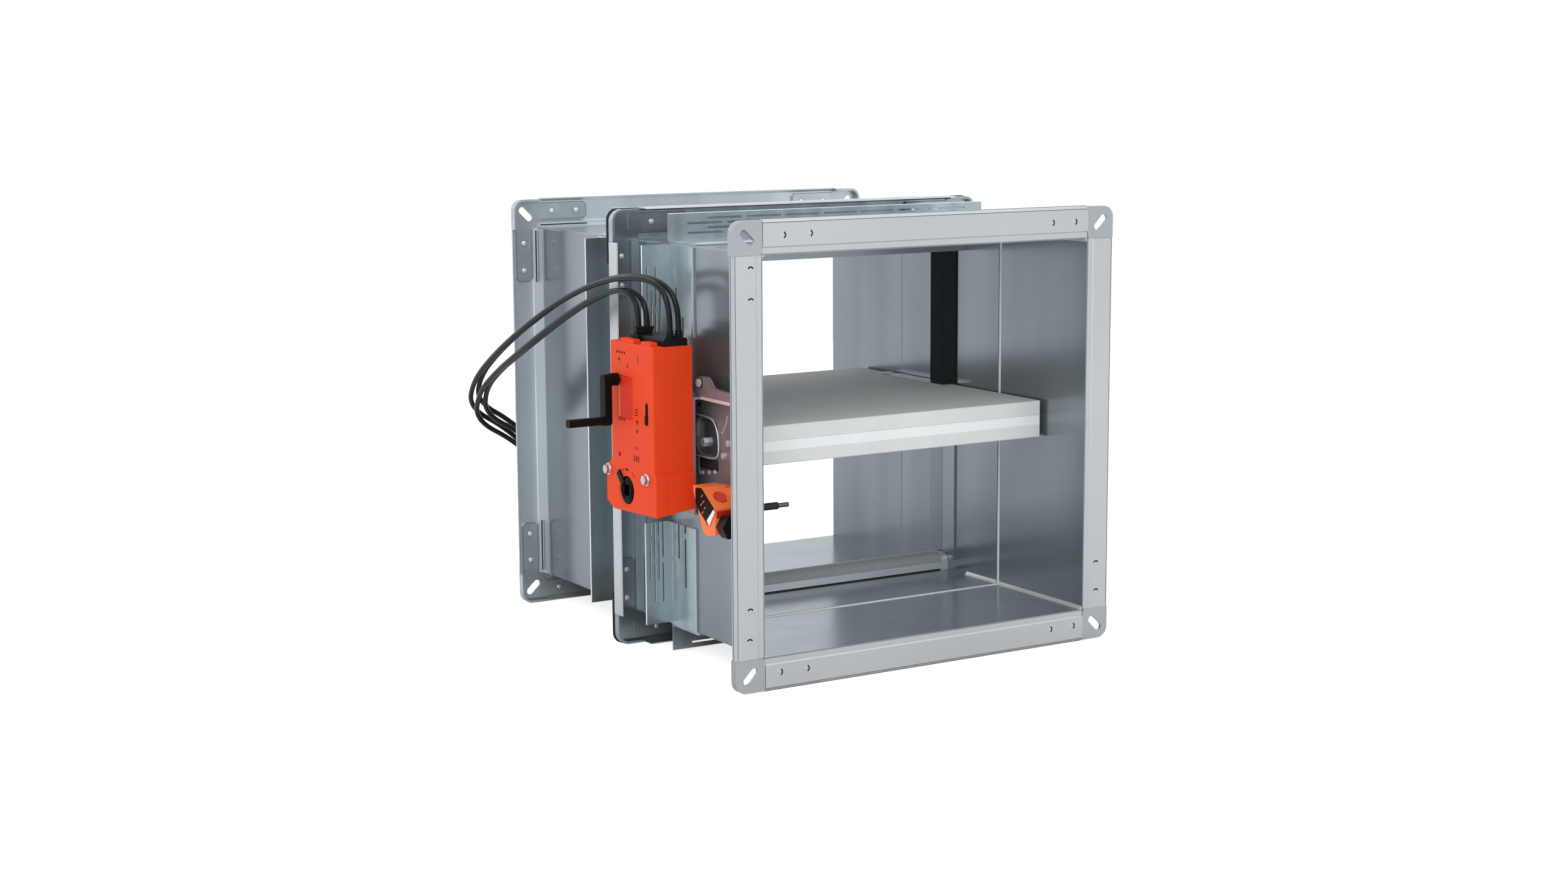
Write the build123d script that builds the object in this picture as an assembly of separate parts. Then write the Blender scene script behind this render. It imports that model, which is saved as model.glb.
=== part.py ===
from build123d import *
import os
from math import cos, pi, radians, sin, sqrt, tan

# Motorised rectangular fire damper
# X runs across the duct with the actuator on the -X side, Y along the air path, Z up.
# The origin is the centre of the front flange's outer face. Lengths are millimetres.

# Duct and casing
duct_width = 400.0
duct_height = 400.0
casing_length = 500.0
sheet = 1.5                 # casing sheet of the front and rear sections
middle_wall = 2.5           # wall of the middle section, flush with the others outside
casing_radius = 2.0         # outer fold of the casing
front_section_end = 155.0
rear_section_start = 345.0

# Slide-on flange rails
flange_width = 35.0         # inner face of the duct to the rail's outer edge
rail_sheet = 1.2
rail_step = 1.2             # set-back of the rail's inner border
border_width = 7.0
rail_bevel = 3.2
end_lip = 5.5               # folded lip of the front and rear rails
rail_foot = 16.0            # foot along the casing
rail_gap = 0.15             # each end of a rail to its corner piece

# Corner pieces
corner_plate = 2.5
corner_radius = 12.0
corner_lip = 10.0
corner_setback = 0.6        # plate behind the rails' face
corner_inset = 1.2          # outline inside the rails' outline
leg_length = 60.0
leg_width = 20.0
leg_gap = 0.2
leg_corner = 4.0            # cut corners at the legs' ends
slot_length = 20.0
slot_width = 8.0
slot_inset = 18.0           # slot centre from both outer edges

# Middle installation frame
middle_plane = 260.0        # rear face of the frame
middle_lip = 21.0
pad_thickness = 3.0
pad_reach = 58.0            # corner pads along each side
gasket_inset = 3.0

# Slotted and plain angles on the casing
slotted_front = 133.0
slotted_plane = 191.5       # rear face of the outstanding leg
slotted_foot = 3.0
angle_sheet = 1.2
angle_height = 30.0         # outstanding leg above the casing
foot_round = 2.2
leg_slot_length = 42.0
leg_slot_width = 2.2
leg_slot_rows = 4
leg_row_pitch = 5.0
leg_row_first = 9.0         # first row above the casing
foot_slot_length = 52.0
foot_slot_width = 3.0
foot_slot_rows = 2
foot_row_pitch = 14.0
foot_row_first = 20.0       # first row behind the foot's front edge
slot_bridge = 6.0           # metal between two slots of a row
mechanism_bottom = -91.0    # gap in the left angle for the mechanism
mechanism_top = 108.0
plain_front = 318.0
plain_foot = 26.0
plain_sheet = 1.5

# Blade
blade_side_gap = 5.0        # blade edge to the duct's nominal side
bottom_board = 13.0
middle_board = 11.0
top_board = 16.0
board_chamfer = 0.8
axis_y = 250.0
axis_z = 0.0
closing_angle = 90.0

# Blade shafts, bushes and brackets
shaft_radius = 5.0
running = 0.05              # radial running clearance
shaft_depth = 45.0          # stub shaft inside the blade
bush_radius = 6.5
bush_flange_radius = 7.3
bush_flange = 2.0
bush_inside = 1.5           # bush proud of the inner wall
bracket_sheet = 1.3
bracket_width = 18.0
bracket_front = 18.0        # blade bracket ahead of the axis
bracket_rear = 98.0         # blade bracket behind the axis

# Stops and seals
stop_sheet = 1.2
stop_clearance = 0.6        # blade's swept circle to a seal roll
roll_seat = 0.1             # seal roll to the sheet that carries it
seal_radius = 9.0
stop_lip = 9.5
stop_hook = 24.0            # depth of the upper stop plate
seal_front = 235.0
front_strip = 23.5
rear_strip = 25.0
seal_thickness = 2.0
seal_gap = 0.5
shaft_window = 14.0         # side seals end this far above and below the axis

# Linkage
spindle_y = 157.0
spindle_z = -47.0
lever_length = 28.0
lever_start = 100.0         # lever direction at rest, from +Y towards +Z
lever_thickness = 5.0
lever_boss = 7.4
lever_eye = 6.0
pin_radius = 3.0
pin_head = 5.0
pin_head_height = 1.8
rod_thickness = 4.0
rod_eye = 6.5
open_pin_clearance = 0.4
layer_gap = 0.5             # between bush, levers and rod

# Mounting bracket
bracket_plate = 2.0
plate_front = 26.0
plate_rear = 232.0
plate_bottom = -68.0
plate_top = 52.0
carrier_front = 96.0
carrier_rear = 205.0
carrier_reach = 23.5        # casing to the actuator's back
ledge_reach = 15.0          # top flange ahead of the actuator
window_y = 102.0
window_z = 9.5
window_width = 44.0
window_height = 38.0
window_rim = 2.5
hook_y = 98.0
hook_z = 66.5
hook_radius = 9.5
hook_slope = 24.0           # hook's centre to the foot of its front slope
hook_sheet = 1.5
hook_front = 38.0
hook_bar = 10.0
ear_bolt_size = 4.5
base_screw_size = 3.6
base_screw_height = 2.4
window_nut_size = 5.0
window_nut_y = 10.0         # nut behind the window's centre
base_screws = ((50.0, 40.0), (62.0, 8.0), (72.0, -6.0), (214.0, 40.0), (214.0, -58.0))

# Actuator, placed from its spindle
actuator_depth = 45.0
cover_depth = 14.0
split_gap = 0.2
body_front = 59.0           # edges measured from the spindle
body_rear = 32.0
body_top = 152.0
housing_front = 62.0
housing_rear = 45.0
housing_bottom = 23.5       # at the rear
housing_chin = 20.0         # at the front
bottom_rise = 6.0           # from the face to the back
housing_top = 21.0
housing_flare = 8.0
housing_chamfer = 15.0
edge_chamfer = 1.0
spindle_opening = 17.5
opening_depth = 12.0
hub_radius = 16.5
pointer_length = 24.0
pointer_width = 7.0
pointer_thickness = 1.6
pointer_angle = 47.0
face_gap = 0.4              # moving pieces to the cover's face
recess_width = 33.0
recess_height = 44.0
recess_depth = 1.0
recess_y = 158.0
recess_z = 49.0
screw_radius = 5.0
screw_height = 4.0
washer_radius = 6.2
washer_height = 1.0
screw_front = 44.0          # fixing screws from the spindle
screw_rear = 39.0
screw_rise = 17.0

# Lock slider
lock_y = 112.0
lock_z = 36.5
lock_slot_width = 5.5
lock_slot_length = 23.0
lock_slot_depth = 4.0
lock_length = 10.0
lock_clearance = 0.4
lock_proud = 1.2

# Hand crank
crank_y = 174.0
crank_z = 66.0
crank_reach = 42.0
crank_shaft_radius = 3.5
crank_shaft_depth = 10.0
crank_hub_radius = 6.5
crank_hub_height = 9.0
crank_arm_width = 11.0
crank_arm_thickness = 8.0
crank_grip_length = 40.0
crank_grip_radius = 4.0

# Cable glands and cables
gland_height = 8.0
gland_front = 100.0
gland_rear = 168.0
gland_inner = 4.0           # gland cover from the actuator's back
gland_outer = 33.0
tab_height = 4.0
boot_radius = 4.6
boot_height = 7.0
cable_diameter = 6.0
cable_sides = 8             # the cables' plain section
boot_sides = 12
ferrule_width = 1.6
ferrule_length = 10.0
ferrule_offset = 1.4

# Thermoelectric trip unit, its outline from the probe's axis
trip_depth = 36.5
trip_base = 10.5            # depth of the base behind the shaped part
trip_base_front = 30.0
trip_base_top = 26.0
trip_base_bottom = 11.0
trip_front = 33.0
trip_shoulder = 10.5        # top of the front face above the axis
trip_peak = 28.5            # top edge above the axis
trip_peak_front = 7.0       # top edge ahead of the axis
trip_rear = 11.0
trip_nape = 6.0             # upright stretch below the peak
trip_heel = 9.0             # rear lower corner ahead of the axis
trip_heel_drop = 17.0       # and below it
trip_keel = 17.0            # lowest corner ahead of the axis
trip_bottom = 19.0
trip_toe = 16.0             # front lower corner below the axis
label_thickness = 0.8
label_rim = 1.2
label_width = 21.5
recess_radius = 8.0
recess_floor = 3.0          # depth of the button's recess
recess_x = 14.0             # recess centre from the label's face
button_radius = 6.0
button_length = 8.0
button_proud = 2.2          # above the recess's floor
button_travel = 1.5
button_clearance = 0.3
probe_y = 61.0
probe_z = -60.5
probe_radius = 3.8
probe_length = 53.0         # thick part beyond the wall
probe_tip_radius = 2.5
probe_tip_length = 13.0
probe_hole_clearance = 0.4
probe_socket = 8.0
connector_radius = 12.5
connector_length = 13.0
connector_x = 13.0          # connector's axis from the label's face
connector_drop = 7.5        # below the probe's axis

# Worked-out places
half_width = duct_width / 2
half_height = duct_height / 2
wall_x = -(half_width + sheet)                      # outer face of the left wall
inner_half_width = half_width + sheet - middle_wall
inner_half_height = half_height + sheet - middle_wall
roll_reach = inner_half_height - stop_sheet - roll_seat - seal_radius      # axis to a seal roll's centre
swept_radius = roll_reach - seal_radius - stop_clearance
blade_thickness = bottom_board + middle_board + top_board
blade_half = sqrt(swept_radius ** 2 - (blade_thickness / 2) ** 2)
blade_side = half_width - blade_side_gap
blade_low = axis_z - blade_thickness / 2
blade_high = axis_z + blade_thickness / 2
actuator_back = wall_x - carrier_reach
cover_back = actuator_back - actuator_depth + cover_depth      # face of the base half
cover_face = actuator_back - actuator_depth
plate_face = wall_x - bracket_plate
inner_lever = wall_x - bush_flange - layer_gap       # inner face of the lever on the blade's shaft
rod_back = inner_lever - lever_thickness - layer_gap
rod_front = rod_back - rod_thickness
outer_lever = rod_front - layer_gap                  # inner face of the lever on the drive shaft
trip_face_x = plate_face - trip_depth

SIDES = ((duct_width, half_height, 0), (duct_height, half_width, 90),
         (duct_width, half_height, 180), (duct_height, half_width, 270))
CORNERS = ((1, 1, 0), (1, -1, 90), (-1, -1, 180), (-1, 1, 270))

os.makedirs("parts", exist_ok=True)


# Shared helpers
def keep(name, *pieces):
    """Write one node: its separate solids in one file."""
    solids = [solid for piece in pieces for solid in piece.solids()]
    export_step(Compound(children=solids) if len(solids) > 1 else solids[0], f"parts/{name}.step")


def around_duct(make):
    """The same piece on the top, right, bottom and left of the duct."""
    return [Rot(0, turn, 0) * Pos(0, 0, half) * make(length) for length, half, turn in SIDES]


def at_corners(piece):
    """The same piece at the four corners of the opening."""
    return [Pos(sx * half_width, 0, sz * half_height) * Rot(0, turn, 0) * piece
            for sx, sz, turn in CORNERS]


def turned(pieces, y):
    """The pieces turned to face +Y, with their face at y."""
    return [Pos(0, y, 0) * Rot(0, 0, 180) * piece for piece in pieces]


def bent_sheet(points, thickness, side=Side.RIGHT):
    """Section of a folded sheet whose outer face follows the points."""
    return make_face(offset(Polyline(*points), thickness, side=side, kind=Kind.INTERSECTION))


def along_x(section, length):
    """A section in the Y-Z plane drawn out along X, centred."""
    return extrude(Plane.YZ * section, length / 2, both=True)


def plate_x(section, x0, x1):
    """A plate with its outline in the Y-Z plane, from x0 to x1."""
    return Pos(min(x0, x1), 0, 0) * extrude(Plane.YZ * section, abs(x1 - x0))


def plate_y(section, y0, y1):
    """A plate with its outline in the X-Z plane, from y0 to y1."""
    return Pos(0, y0, 0) * extrude(Plane.XZ * section, y0 - y1)


def block(x0, x1, y0, y1, z0, z1):
    """A block between two corners."""
    return Pos(x0, y0, z0) * Box(x1 - x0, y1 - y0, z1 - z0, align=(Align.MIN,) * 3)


def rod_x(radius, x0, x1, y, z):
    """A round rod along X."""
    return plate_x(Pos(y, z) * Circle(radius), x0, x1)


def between(x0, x1, z0, z1):
    """A rectangle between two corners of a sketch."""
    return Pos((x0 + x1) / 2, (z0 + z1) / 2) * Rectangle(abs(x1 - x0), abs(z1 - z0))


# Flange rails
def flange_rail(length, lip):
    """A rolled rail on the top side: foot, stepped face, bevel and folded lip."""
    section = bent_sheet(((rail_foot, sheet), (rail_step, sheet), (rail_step, border_width),
                          (0, border_width + rail_step), (0, flange_width - rail_bevel),
                          (rail_bevel, flange_width), (lip, flange_width)), rail_sheet)
    return along_x(section, length - 2 * rail_gap)


def rails(lip):
    """The four rails of one flange, facing -Y with their face at 0."""
    return around_duct(lambda length: flange_rail(length, lip))


# Corner pieces
def corner_piece(slotted):
    """A pressed corner with two legs that slide behind the rails' faces."""
    outer = flange_width - corner_inset

    def rounded_square(start, end, radius):
        square = between(start, end, start, end)
        return fillet(square.vertices().sort_by(lambda v: v.X + v.Y)[-1], radius)

    notch = between(0, sheet + leg_gap, 0, sheet + leg_gap)
    square = rounded_square(rail_gap, outer, corner_radius)
    inner = rounded_square(rail_gap, outer - corner_plate, corner_radius - corner_plate)
    leg_low = (border_width + rail_step + flange_width - rail_bevel - leg_width) / 2
    leg = between(-leg_length, corner_radius, leg_low, leg_low + leg_width)
    leg = chamfer(leg.vertices().sort_by(Axis.X)[:2], leg_corner)
    upright = between(leg_low, leg_low + leg_width, -leg_length, corner_radius)
    upright = chamfer(upright.vertices().sort_by(Axis.Y)[:2], leg_corner)
    leg_back = rail_sheet + leg_gap
    piece = plate_y(square - notch, corner_setback, corner_setback + corner_plate)
    piece += plate_y(square - inner, corner_setback, corner_lip)
    piece += plate_y(leg + upright, leg_back, leg_back + corner_plate)
    if slotted:
        at = flange_width - slot_inset
        slot = Pos(at, at) * Rot(0, 0, 45) * SlotOverall(slot_length, slot_width)
        piece -= plate_y(slot, -1, corner_lip + 1)
    return piece


front_rails = rails(end_lip)
keep("front_flange_rails", *front_rails)
keep("rear_flange_rails", *turned(front_rails, casing_length))
end_corners = at_corners(corner_piece(True))
keep("front_flange_corners", *end_corners)
keep("rear_flange_corners", *turned(end_corners, casing_length))

# Middle frame, with windows in its side feet for the shaft bushes
foot_window = between(middle_plane - rail_foot - 1, middle_plane - rail_sheet - 0.1,
                      axis_z - 2 * bush_flange_radius, axis_z + 2 * bush_flange_radius)
foot_depth = sheet + rail_sheet + 0.1
bush_windows = (plate_x(foot_window, -half_width - foot_depth, -half_width)
                + plate_x(foot_window, half_width, half_width + foot_depth))
keep("middle_frame_rails", *[rail - bush_windows for rail in turned(rails(middle_lip), middle_plane)])
keep("middle_frame_corners", *turned(at_corners(corner_piece(False)), middle_plane))


# Gasket behind the middle frame: a pad at each corner
def frame_gasket():
    low = sheet + gasket_inset
    high = flange_width - 0.5
    reach = pad_reach - flange_width
    pad = between(-reach, high, low, high) + between(low, high, -reach, high)
    pad = fillet(pad.vertices().sort_by(lambda v: v.X + v.Y)[-1], corner_radius)
    return [Pos(0, middle_plane, 0) * piece for piece in at_corners(plate_y(pad, 0, pad_thickness))]


keep("frame_gasket", *frame_gasket())


# Casing sections
def casing(y0, y1, wall):
    """A length of folded duct, flush outside."""
    width, height = duct_width + 2 * sheet, duct_height + 2 * sheet
    outline = RectangleRounded(width, height, casing_radius)
    return plate_y(outline - Rectangle(width - 2 * wall, height - 2 * wall), y0, y1)


probe_hole = rod_x(probe_radius + probe_hole_clearance, plate_face - 1, -half_width + 1, probe_y, probe_z)
shaft_holes = rod_x(bush_radius + running, wall_x - 1, -wall_x + 1, axis_y, axis_z)
keep("front_casing", casing(rail_step, front_section_end, sheet) - probe_hole)
keep("middle_casing", casing(front_section_end, rear_section_start, middle_wall) - shaft_holes)
keep("rear_casing", casing(rear_section_start, casing_length - rail_step, sheet))


# Slotted angles: a slotted foot on the casing and a slotted outstanding leg
def slot_row(length, pitch, shift):
    """Centres of the slots of one row, staggered row by row."""
    count = int((length - pitch) // pitch)
    first = -(count - 1) * pitch / 2 + shift
    return [first + i * pitch for i in range(count)]


def slotted_angle(length):
    low, high = sheet, sheet + angle_height
    foot = between(slotted_front, slotted_plane, low, low + slotted_foot)
    foot = fillet(foot.vertices().sort_by(lambda v: v.Y - v.X)[-1], foot_round)
    leg = between(slotted_plane - angle_sheet, slotted_plane, low, high)
    angle = along_x(foot + leg, length)
    cuts = []
    pitch = leg_slot_length + slot_bridge
    for row in range(leg_slot_rows):
        z = low + leg_row_first + row * leg_row_pitch
        for x in slot_row(length, pitch, (row % 2 - 0.5) * pitch / 2):
            cuts.append(Pos(x, slotted_plane, z) * Box(leg_slot_length, 4 * angle_sheet, leg_slot_width))
    pitch = foot_slot_length + slot_bridge
    for row in range(foot_slot_rows):
        y = slotted_front + foot_row_first + row * foot_row_pitch
        for x in slot_row(length, pitch, (row % 2 - 0.5) * pitch / 2):
            cuts.append(Pos(x, y, low) * Box(foot_slot_length, foot_slot_width, 4 * slotted_foot))
    return angle - cuts


slotted = around_duct(slotted_angle)
mechanism_gap = block(wall_x - flange_width, -half_width, slotted_front - 1, slotted_plane + 1,
                      mechanism_bottom, mechanism_top)
slotted[3] = slotted[3] - mechanism_gap
keep("slotted_angles", *slotted)


# Plain angles behind the middle frame
def plain_angle(length):
    section = bent_sheet(((plain_front, sheet + angle_height), (plain_front, sheet),
                          (plain_front + plain_foot, sheet)), plain_sheet, Side.LEFT)
    return along_x(section, length)


keep("plain_angles", *around_duct(plain_angle))

# Lower stop: a channel on the floor with a seal roll in it and an end cap at each side
stop_floor = -inner_half_height
roll_z = -roll_reach
stop_front = axis_y + blade_thickness / 2 - 2 * seal_radius - 2 * stop_sheet - stop_clearance
roll_y = stop_front + stop_sheet + seal_gap + seal_radius
stop_rear = roll_y + seal_radius + seal_gap + stop_sheet
channel = bent_sheet(((stop_front, stop_floor + stop_lip), (stop_front, stop_floor),
                      (stop_rear, stop_floor), (stop_rear, roll_z + seal_radius)),
                     stop_sheet, Side.LEFT)
roll_end = blade_side - seal_radius / 2
cap = rod_x(seal_radius + 0.2, roll_end + 0.3, inner_half_width - 0.1, roll_y, roll_z)
keep("lower_stop", along_x(channel, 2 * inner_half_width - 0.2), cap, mirror(cap, about=Plane.YZ))
lower_roll = along_x(Pos(roll_y, roll_z) * Circle(seal_radius), 2 * roll_end)
keep("lower_seal_roll", lower_roll)

# Upper stop: a hooked plate ahead of the closed blade, running back over its seal roll
hook_y0 = axis_y - blade_thickness / 2 - 2 * stop_clearance - 14.0
hook_plate = bent_sheet(((2 * axis_y - stop_front, inner_half_height),
                         (hook_y0, inner_half_height), (hook_y0, inner_half_height - stop_hook),
                         (hook_y0 + 6.0, inner_half_height - stop_hook)), stop_sheet, Side.LEFT)
keep("upper_stop", along_x(hook_plate, 2 * inner_half_width - 0.2))
upper_roll = along_x(Pos(2 * axis_y - roll_y, roll_reach) * Circle(seal_radius), 2 * roll_end)
keep("upper_seal_roll", upper_roll)


# Side seals in the closing plane of the blade, on both walls
def side_strip(y0, y1, z0, z1):
    strip = block(inner_half_width - seal_thickness, inner_half_width, y0, y1, z0, z1)
    return [strip, mirror(strip, about=Plane.YZ)]


seal_low = roll_z + seal_radius + seal_gap
seal_high = -seal_low
seal_middle = seal_front + front_strip
seal_back = seal_middle + seal_gap
window_low, window_high = axis_z - shaft_window, axis_z + shaft_window
keep("upper_side_seals", *side_strip(seal_front, seal_middle, window_high, seal_high),
     *side_strip(seal_back, seal_back + rear_strip, window_high, seal_high))
keep("lower_side_seals", *side_strip(seal_back, seal_back + rear_strip, seal_low, window_low))
keep("lower_side_strips", *side_strip(seal_front, seal_middle, seal_low, window_low))


# Blade boards, with bores for the stub shafts
def board(z0, z1):
    slab = block(-blade_side, blade_side, axis_y - blade_half, axis_y + blade_half, z0, z1)
    rims = slab.edges().filter_by(Axis.X) + slab.edges().filter_by(Axis.Z)
    slab = chamfer(rims, board_chamfer)
    for x0, x1 in ((-blade_side, -blade_side + shaft_depth), (blade_side - shaft_depth, blade_side)):
        slab -= rod_x(shaft_radius + running, x0 - 1 if x0 < 0 else x0, x1 if x0 < 0 else x1 + 1,
                      axis_y, axis_z)
    return slab


low_joint, high_joint = blade_low + bottom_board, blade_high - top_board
keep("blade_bottom_board", board(blade_low, low_joint))
keep("blade_middle_board", board(low_joint, high_joint))
keep("blade_top_board", board(high_joint, blade_high))


# Blade brackets: a leaf on the blade's top and one down its side, around the shaft
def blade_bracket():
    top = block(blade_side - bracket_width, blade_side + bracket_sheet, axis_y - bracket_front,
                axis_y + bracket_rear, blade_high, blade_high + bracket_sheet)
    leaf = between(axis_y - bracket_front, axis_y + bracket_front, blade_low + 6, blade_high)
    leaf += between(axis_y, axis_y + bracket_rear, blade_high - 7, blade_high)
    leaf -= Pos(axis_y, axis_z) * Circle(shaft_radius + running)
    clip = block(blade_side - bracket_width, blade_side, axis_y + bracket_rear + 4,
                 axis_y + bracket_rear + 22, blade_high, blade_high + bracket_sheet)
    return [top + plate_x(leaf, blade_side, blade_side + bracket_sheet), clip]


right_brackets = blade_bracket()
keep("blade_brackets", *right_brackets, *[mirror(piece, about=Plane.YZ) for piece in right_brackets])

# Stub shafts and their bushes
shaft_in = blade_side - shaft_depth
keep("left_stub_shaft", rod_x(shaft_radius, inner_lever - lever_thickness, -shaft_in, axis_y, axis_z))
keep("right_stub_shaft", rod_x(shaft_radius, shaft_in, -wall_x + bush_flange, axis_y, axis_z))
bush = rod_x(bush_radius, -inner_half_width + bush_inside, wall_x, axis_y, axis_z)
bush += rod_x(bush_flange_radius, wall_x, wall_x - bush_flange, axis_y, axis_z)
bush -= rod_x(shaft_radius + running, wall_x - 2 * bush_flange, -inner_half_width + 2 * bush_inside,
              axis_y, axis_z)
keep("shaft_bushes", bush, mirror(bush, about=Plane.YZ))

# Linkage: two equal levers with a rod between them, so the blade turns with the actuator's spindle
pin_dy = lever_length * cos(radians(lever_start))
pin_dz = lever_length * sin(radians(lever_start))


def lever(y, z, x):
    outline = make_hull([Pos(y, z) * Circle(lever_boss).edge(),
                         Pos(y + pin_dy, z + pin_dz) * Circle(lever_eye).edge()])
    outline -= Pos(y, z) * Circle(shaft_radius)
    outline -= Pos(y + pin_dy, z + pin_dz) * Circle(pin_radius)
    return plate_x(outline, x, x - lever_thickness)


def lever_pin(y, z, x, head, way):
    """A pin from the lever's far face at x through the rod to its head."""
    pin = rod_x(pin_radius, x, head, y + pin_dy, z + pin_dz)
    return pin + rod_x(pin_head, head, head + way * pin_head_height, y + pin_dy, z + pin_dz)


keep("shaft_lever", lever(axis_y, axis_z, inner_lever))
keep("shaft_lever_pin", lever_pin(axis_y, axis_z, inner_lever, rod_front - layer_gap, -1))
keep("drive_lever", lever(spindle_y, spindle_z, outer_lever))
keep("drive_lever_pin", lever_pin(spindle_y, spindle_z, outer_lever - lever_thickness,
                                  rod_back + layer_gap, 1))
drive_eye = Pos(spindle_y + pin_dy, spindle_z + pin_dz)
blade_eye = Pos(axis_y + pin_dy, axis_z + pin_dz)
rod_outline = make_hull([drive_eye * Circle(rod_eye).edge(), blade_eye * Circle(rod_eye).edge()])
rod_outline -= drive_eye * Circle(pin_radius + running)
rod_outline -= blade_eye * Circle(pin_radius + open_pin_clearance)
keep("link_rod", plate_x(rod_outline, rod_back, rod_front))


# Mounting bracket: base plate on the casing and a raised carrier for the actuator
def mounting_bracket():
    base = between(plate_front, plate_rear, plate_bottom, plate_top)
    window = Pos(window_y, window_z) * RectangleRounded(window_width, window_height, 10)
    rim = Pos(window_y, window_z) * RectangleRounded(window_width + 2 * window_rim,
                                                     window_height + 2 * window_rim, 12.5)
    base = fillet(base.vertices(), 5) - window
    body = plate_x(base, wall_x, plate_face)
    body += plate_x(rim - window, plate_face, plate_face - window_rim)
    reach = wall_x - carrier_reach
    for z in (plate_bottom, plate_top - bracket_plate):
        body += block(reach, plate_face, carrier_front, carrier_rear, z, z + bracket_plate)
    body += block(wall_x - ledge_reach, plate_face, hook_front, carrier_front,
                  plate_top - bracket_plate, plate_top)
    body += block(reach, reach + bracket_plate, carrier_front, carrier_rear, plate_bottom, plate_top)
    body -= rod_x(shaft_radius + running, reach - 1, reach + bracket_plate + 1, spindle_y, spindle_z)
    return body - probe_hole


keep("mounting_bracket", mounting_bracket())


# Upper bracket: a hooked ear standing on the mounting bracket's ledge
def upper_bracket():
    bar = between(hook_front, hook_y + hook_radius, plate_top, plate_top + hook_bar)
    ear = make_hull([Pos(hook_y, hook_z) * Circle(hook_radius).edge(),
                     Pos(hook_y - hook_slope, plate_top + hook_bar / 2) * Circle(hook_bar / 2).edge()])
    outline = bar + ear - Pos(hook_y, hook_z) * Circle(pin_radius)
    x0 = wall_x - ledge_reach
    outline -= between(hook_front, hook_y + 3 * hook_radius, plate_bottom, plate_top)
    outline -= between(carrier_front - 0.2, hook_y + 3 * hook_radius, plate_bottom, plate_top + 0.2)
    return plate_x(outline, x0, x0 + hook_sheet)


keep("upper_bracket", upper_bracket())


# Screws of the bracket: hex heads on its base plate, and the bolt in the ear
def hex_head(x, y, z, radius, height):
    return plate_x(Pos(y, z) * RegularPolygon(radius, 6), x, x - height)


ear_x = wall_x - ledge_reach
ear_bolt = hex_head(ear_x, hook_y, hook_z, ear_bolt_size, base_screw_height)
ear_bolt += rod_x(pin_radius, ear_x, ear_x + 2 * hook_sheet, hook_y, hook_z)
window_nut = hex_head(wall_x, window_y + window_nut_y, window_z - window_height / 6,
                      window_nut_size, window_nut_size)
keep("bracket_screws", ear_bolt, window_nut,
     *[hex_head(plate_face, y, z, base_screw_size, base_screw_height) for y, z in base_screws])


# Actuator housing
def actuator_outline():
    """The slim body and the wider spindle housing below it."""
    y, z = spindle_y, spindle_z
    points = ((y - body_front, z + body_top), (y + body_rear, z + body_top),
              (y + body_rear, z + housing_top + housing_flare), (y + housing_rear, z + housing_top),
              (y + housing_rear, z - housing_bottom + housing_chamfer / 2),
              (y + housing_rear - housing_chamfer, z - housing_bottom),
              (y - housing_front, z - housing_chin), (y - housing_front, z + housing_top),
              (y - body_front, z + housing_top + 2))
    return make_face(Polyline(*points, close=True))


def raised_bottom(body):
    """The body above the housing's bottom, which rises from the face to the back."""
    front = Vector(cover_face, spindle_y - housing_front, spindle_z - housing_chin)
    rear = Vector(cover_face, spindle_y + housing_rear - housing_chamfer, spindle_z - housing_bottom)
    back = Vector(actuator_back, front.Y, front.Z + bottom_rise)
    along = rear - front
    return split(body, bisect_by=Plane(origin=front, x_dir=along, z_dir=(back - front).cross(along)),
                 keep=Keep.TOP)


def actuator_base():
    body = raised_bottom(plate_x(actuator_outline(), actuator_back, cover_back))
    return body - rod_x(shaft_radius + running, actuator_back + 1, cover_back - 1, spindle_y, spindle_z)


def actuator_cover():
    cover = plate_x(actuator_outline(), cover_back - split_gap, cover_face)
    cover = chamfer(cover.faces().sort_by(Axis.X)[0].outer_wire().edges(), edge_chamfer)
    cover = raised_bottom(cover)
    top = spindle_z + body_top
    for y0, y1 in ((gland_front + 6, gland_front + 26), (gland_front + 42, gland_rear + 2)):
        cover += block(cover_face + 2, cover_back - split_gap - 4, y0, y1, top - 2, top + tab_height)
    cover -= rod_x(spindle_opening, cover_face - 1, cover_face + opening_depth, spindle_y, spindle_z)
    cover -= rod_x(shaft_radius + running, cover_face - 1, cover_back + 1, spindle_y, spindle_z)
    cover -= plate_x(Pos(recess_y, recess_z) * RectangleRounded(recess_width, recess_height, 2),
                     cover_face - 1, cover_face + recess_depth)
    cover -= plate_x(Pos(lock_y, lock_z) * Rot(0, 0, 90) * SlotOverall(lock_slot_length, lock_slot_width),
                     cover_face - 1, cover_face + lock_slot_depth)
    return cover - rod_x(crank_shaft_radius + running, cover_face - 1, cover_face + crank_shaft_depth,
                         crank_y, crank_z)


keep("actuator_base", actuator_base())
keep("actuator_cover", actuator_cover())


def washer_screw(dy):
    place = (spindle_y + dy, spindle_z + screw_rise)
    head = hex_head(cover_face, *place, screw_radius, screw_height + washer_height)
    return head + rod_x(washer_radius, cover_face, cover_face - washer_height, *place)


keep("actuator_screws", washer_screw(-screw_front), washer_screw(screw_rear))

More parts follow.
